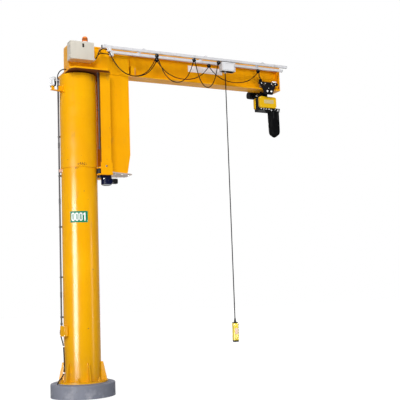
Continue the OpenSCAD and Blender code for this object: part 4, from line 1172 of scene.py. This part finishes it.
HOOK_X, HOOK_Y, BLOCK_Z = 3.060, 0.066, 3.7649
caps = [turned("cap", [(0, 0.0305), (0.001, 0.0318), (0.004, 0.0318), (0.0065, 0.0290),
                       (0.0070, 0.0150), (0.0050, 0.0120)],
               (HOOK_X + s * 0.0215, HOOK_Y, BLOCK_Z), (s, 0, 0), 40) for s in SIDES]
caps.append(turned("band", band(-0.0025, 0.0025, 0.0318, 0.0312, 0.0007),
                   (HOOK_X, HOOK_Y, BLOCK_Z), OUT, 40))
fitted_set("hook_block_caps", caps, "trolley", "hoist_yellow")
fasteners("hook_block_screws", "screw", 0.004,
          [((HOOK_X + s * 0.0285, HOOK_Y + 0.021 * math.cos(a), BLOCK_Z + 0.021 * math.sin(a)),
            (s, 0, 0)) for s in SIDES for a in (0.5, 2.6, 4.7)], "trolley")
fitted(turned("hook_collar", [(3.7320, 0.0150), (3.7330, 0.0160), (3.7270, 0.0160),
                              (3.7220, 0.0125)], (HOOK_X, HOOK_Y, 0), sides=24), "trolley",
       "bright_steel")
latch = block_piece("hook_latch", (-0.0010, -0.0065, -0.0360), (0.0012, 0.0065, 0.0010), 0.0006)
sunk_panel(latch, OUT, 0.0025, -0.0004)
fitted(placed(latch, (HOOK_X - 0.004, HOOK_Y, 3.6754), (0, 40, 0)), "trolley", "zinc")

# the chain bag: a cloth shell that sags, on a frame, with seams, straps and bolts
BAG_Y, SEAM_PROUD = -0.0725, 0.0015
sides_of_bag = [(3.8200, 3.0110, 0.149, 0.118), (3.7700, 3.0118, 0.148, 0.118),
                (3.7200, 3.0128, 0.148, 0.119), (3.6700, 3.0138, 0.146, 0.119),
                (3.6200, 3.0148, 0.145, 0.118), (3.5800, 3.0155, 0.142, 0.115)]
bag_levels = [(3.9050, 3.0100, 0.152, 0.125), (3.8700, 3.0100, 0.149, 0.121), *sides_of_bag,
              (3.5560, 3.0155, 0.135, 0.110), (3.5400, 3.0150, 0.118, 0.098),
              (3.5240, 3.0140, 0.084, 0.074), (3.5080, 3.0125, 0.046, 0.044),
              (3.5000, 3.0120, 0.020, 0.020)]
bag = lofted("bag_cloth", rounded_outline(1, 1, 0.22, 7),
             [(z, x, BAG_Y, w, d) for z, x, w, d in bag_levels])
edit_all(bag)
bpy.ops.mesh.subdivide(number_cuts=1, smoothness=0.4)
leave_edit()
change(bag, "SUBSURF", levels=1)
for name, size, depth, strength in (("cloth_folds", 0.075, 2, 0.012),
                                    ("cloth_creases", 0.022, 3, 0.0035)):
    clouds = bpy.data.textures.new(name, "CLOUDS")
    clouds.noise_scale, clouds.noise_depth = size, depth
    change(bag, "DISPLACE", texture=clouds, strength=strength, mid_level=0.5)
fitted(shade(bag, 60), "trolley", "bag_cloth", "chain_bag")
rim = lofted("bag_frame", rounded_outline(1, 1, 0.10, 7), [
    (3.8810, 3.0000, BAG_Y, 0.180, 0.141), (3.8825, 3.0000, BAG_Y, 0.1845, 0.1455),
    (3.9040, 3.0000, BAG_Y, 0.1845, 0.1455), (3.9065, 3.0000, BAG_Y, 0.180, 0.141)])
fitted(shade(rim), "trolley", "black_plastic")
seam_levels = [(3.880, 3.0100, 0.151, 0.123),
               *((z, x, w + SEAM_PROUD, d + SEAM_PROUD) for z, x, w, d in sides_of_bag),
               (3.556, 3.0155, 0.1360, 0.1110)]
fitted_set("bag_seams", [bead([(x + w * cx, BAG_Y + d * cy, z) for z, x, w, d in seam_levels],
                              0.0036) for cx, cy in rounded_outline(1, 1, 0.22, 2)[1::3]],
           "trolley", "bag_cloth")
fasteners("bag_bolts", "bolt", 0.0085,
          facing(FRONT, grid((2.936, 3.046, 3.082), (-0.1452,), (3.8935,))), "trolley",
          "bright_steel")
fitted_set("bag_straps", [shade(lofted("strap", rounded_outline(0.022, 0.0030, 0.0012, 2), [
    (3.884, x, -0.1370, 1, 1), (3.850, x, -0.1345, 1, 1), (3.800, x, -0.1328, 1, 1),
    (3.760, x, -0.1325, 1, 1)])) for x in (2.975, 3.045)], "trolley", "strap_webbing")

# ---------------------------------------------------------------- light and floor


def seen_directly(tree):
    """1 for rays from the eye, from gloss and through glass."""
    path = tree.nodes.new("ShaderNodeLightPath").outputs
    first = wired(tree, "Math", 0, {0: path["Is Camera Ray"], 1: path["Is Glossy Ray"]},
                  operation="MAXIMUM")
    return wired(tree, "Math", 0, {0: first, 1: path["Is Transmission Ray"]},
                 operation="MAXIMUM")


def make_world(fill):
    """Even white light of one strength; the eye and the gloss see plain white."""
    world = bpy.data.worlds.new("studio")
    bpy.context.scene.world = world
    world.use_nodes = True
    tree = world.node_tree
    light = wired(tree, "Background", 0, {"Color": WHITE, "Strength": fill})
    white = wired(tree, "Background", 0, {"Color": WHITE, "Strength": 1.0})
    mix = wired(tree, "MixShader", 0, {"Fac": seen_directly(tree), 1: light, 2: white})
    tree.links.new(mix, tree.nodes["World Output"].inputs["Surface"])


def make_floor():
    """A pale floor that keeps the shadow, and is duller to the light that it gives back."""
    clear_selection()
    bpy.ops.mesh.primitive_plane_add(size=60)
    floor = bpy.context.object
    floor.name = "floor"
    placed(floor, (0, 0, -0.0005))
    material = bpy.data.materials.new("pale_floor")
    material.use_nodes = True
    tree = material.node_tree
    matte = tree.nodes["Principled BSDF"]
    matte.inputs["Base Color"].default_value = (0.50, 0.50, 0.50, 1)
    matte.inputs["Roughness"].default_value = 0.9
    matte.inputs["Specular IOR Level"].default_value = 0.0
    shaded = wired(tree, "BsdfDiffuse", 0, {"Color": (0.26, 0.26, 0.26, 1)})
    glow = wired(tree, "Emission", 0, {"Color": WHITE, "Strength": 0.82})
    both = wired(tree, "AddShader", 0, {0: shaded, 1: glow})
    mix = wired(tree, "MixShader", 0, {"Fac": seen_directly(tree), 1: matte.outputs[0], 2: both})
    tree.links.new(mix, tree.nodes["Material Output"].inputs["Surface"])
    floor.data.materials.append(material)


def place_lamp(data, place, towards):
    lamp = bpy.data.objects.new(data.name, data)
    lamp.location = place
    lamp.rotation_euler = (Vector(towards) - Vector(place)).to_track_quat("-Z", "Y").to_euler()
    lamp.visible_camera = False
    bpy.context.scene.collection.objects.link(lamp)
    return lamp


def broad_light(name, place, strength, spread):
    """Even light from one side, which the gloss doesn't show."""
    data = bpy.data.lights.new(name, "SUN")
    data.energy, data.angle = strength, math.radians(spread)
    place_lamp(data, place, (0, 0, 0)).visible_glossy = False


def strip_light(name, place, width, height, power):
    """A tall strip, level with the column, that shows only in the gloss."""
    data = bpy.data.lights.new(name, "AREA")
    data.shape, data.size, data.size_y, data.energy = "RECTANGLE", width, height, power
    place_lamp(data, place, (0, 0, place[2])).visible_diffuse = False


make_world(0.28)
make_floor()
broad_light("key", (-6.2, -12.0, 8.5), 3.0, 34)
broad_light("back_fill", (3.7, 11.4, 7.0), 1.5, 40)
strip_light("left_strip", (-4.05, -2.95, 1.65), 2.1, 3.3, 3900)
strip_light("right_strip", (3.97, -3.04, 1.3), 0.30, 2.6, 160)
bpy.context.scene.view_settings.view_transform = "Standard"
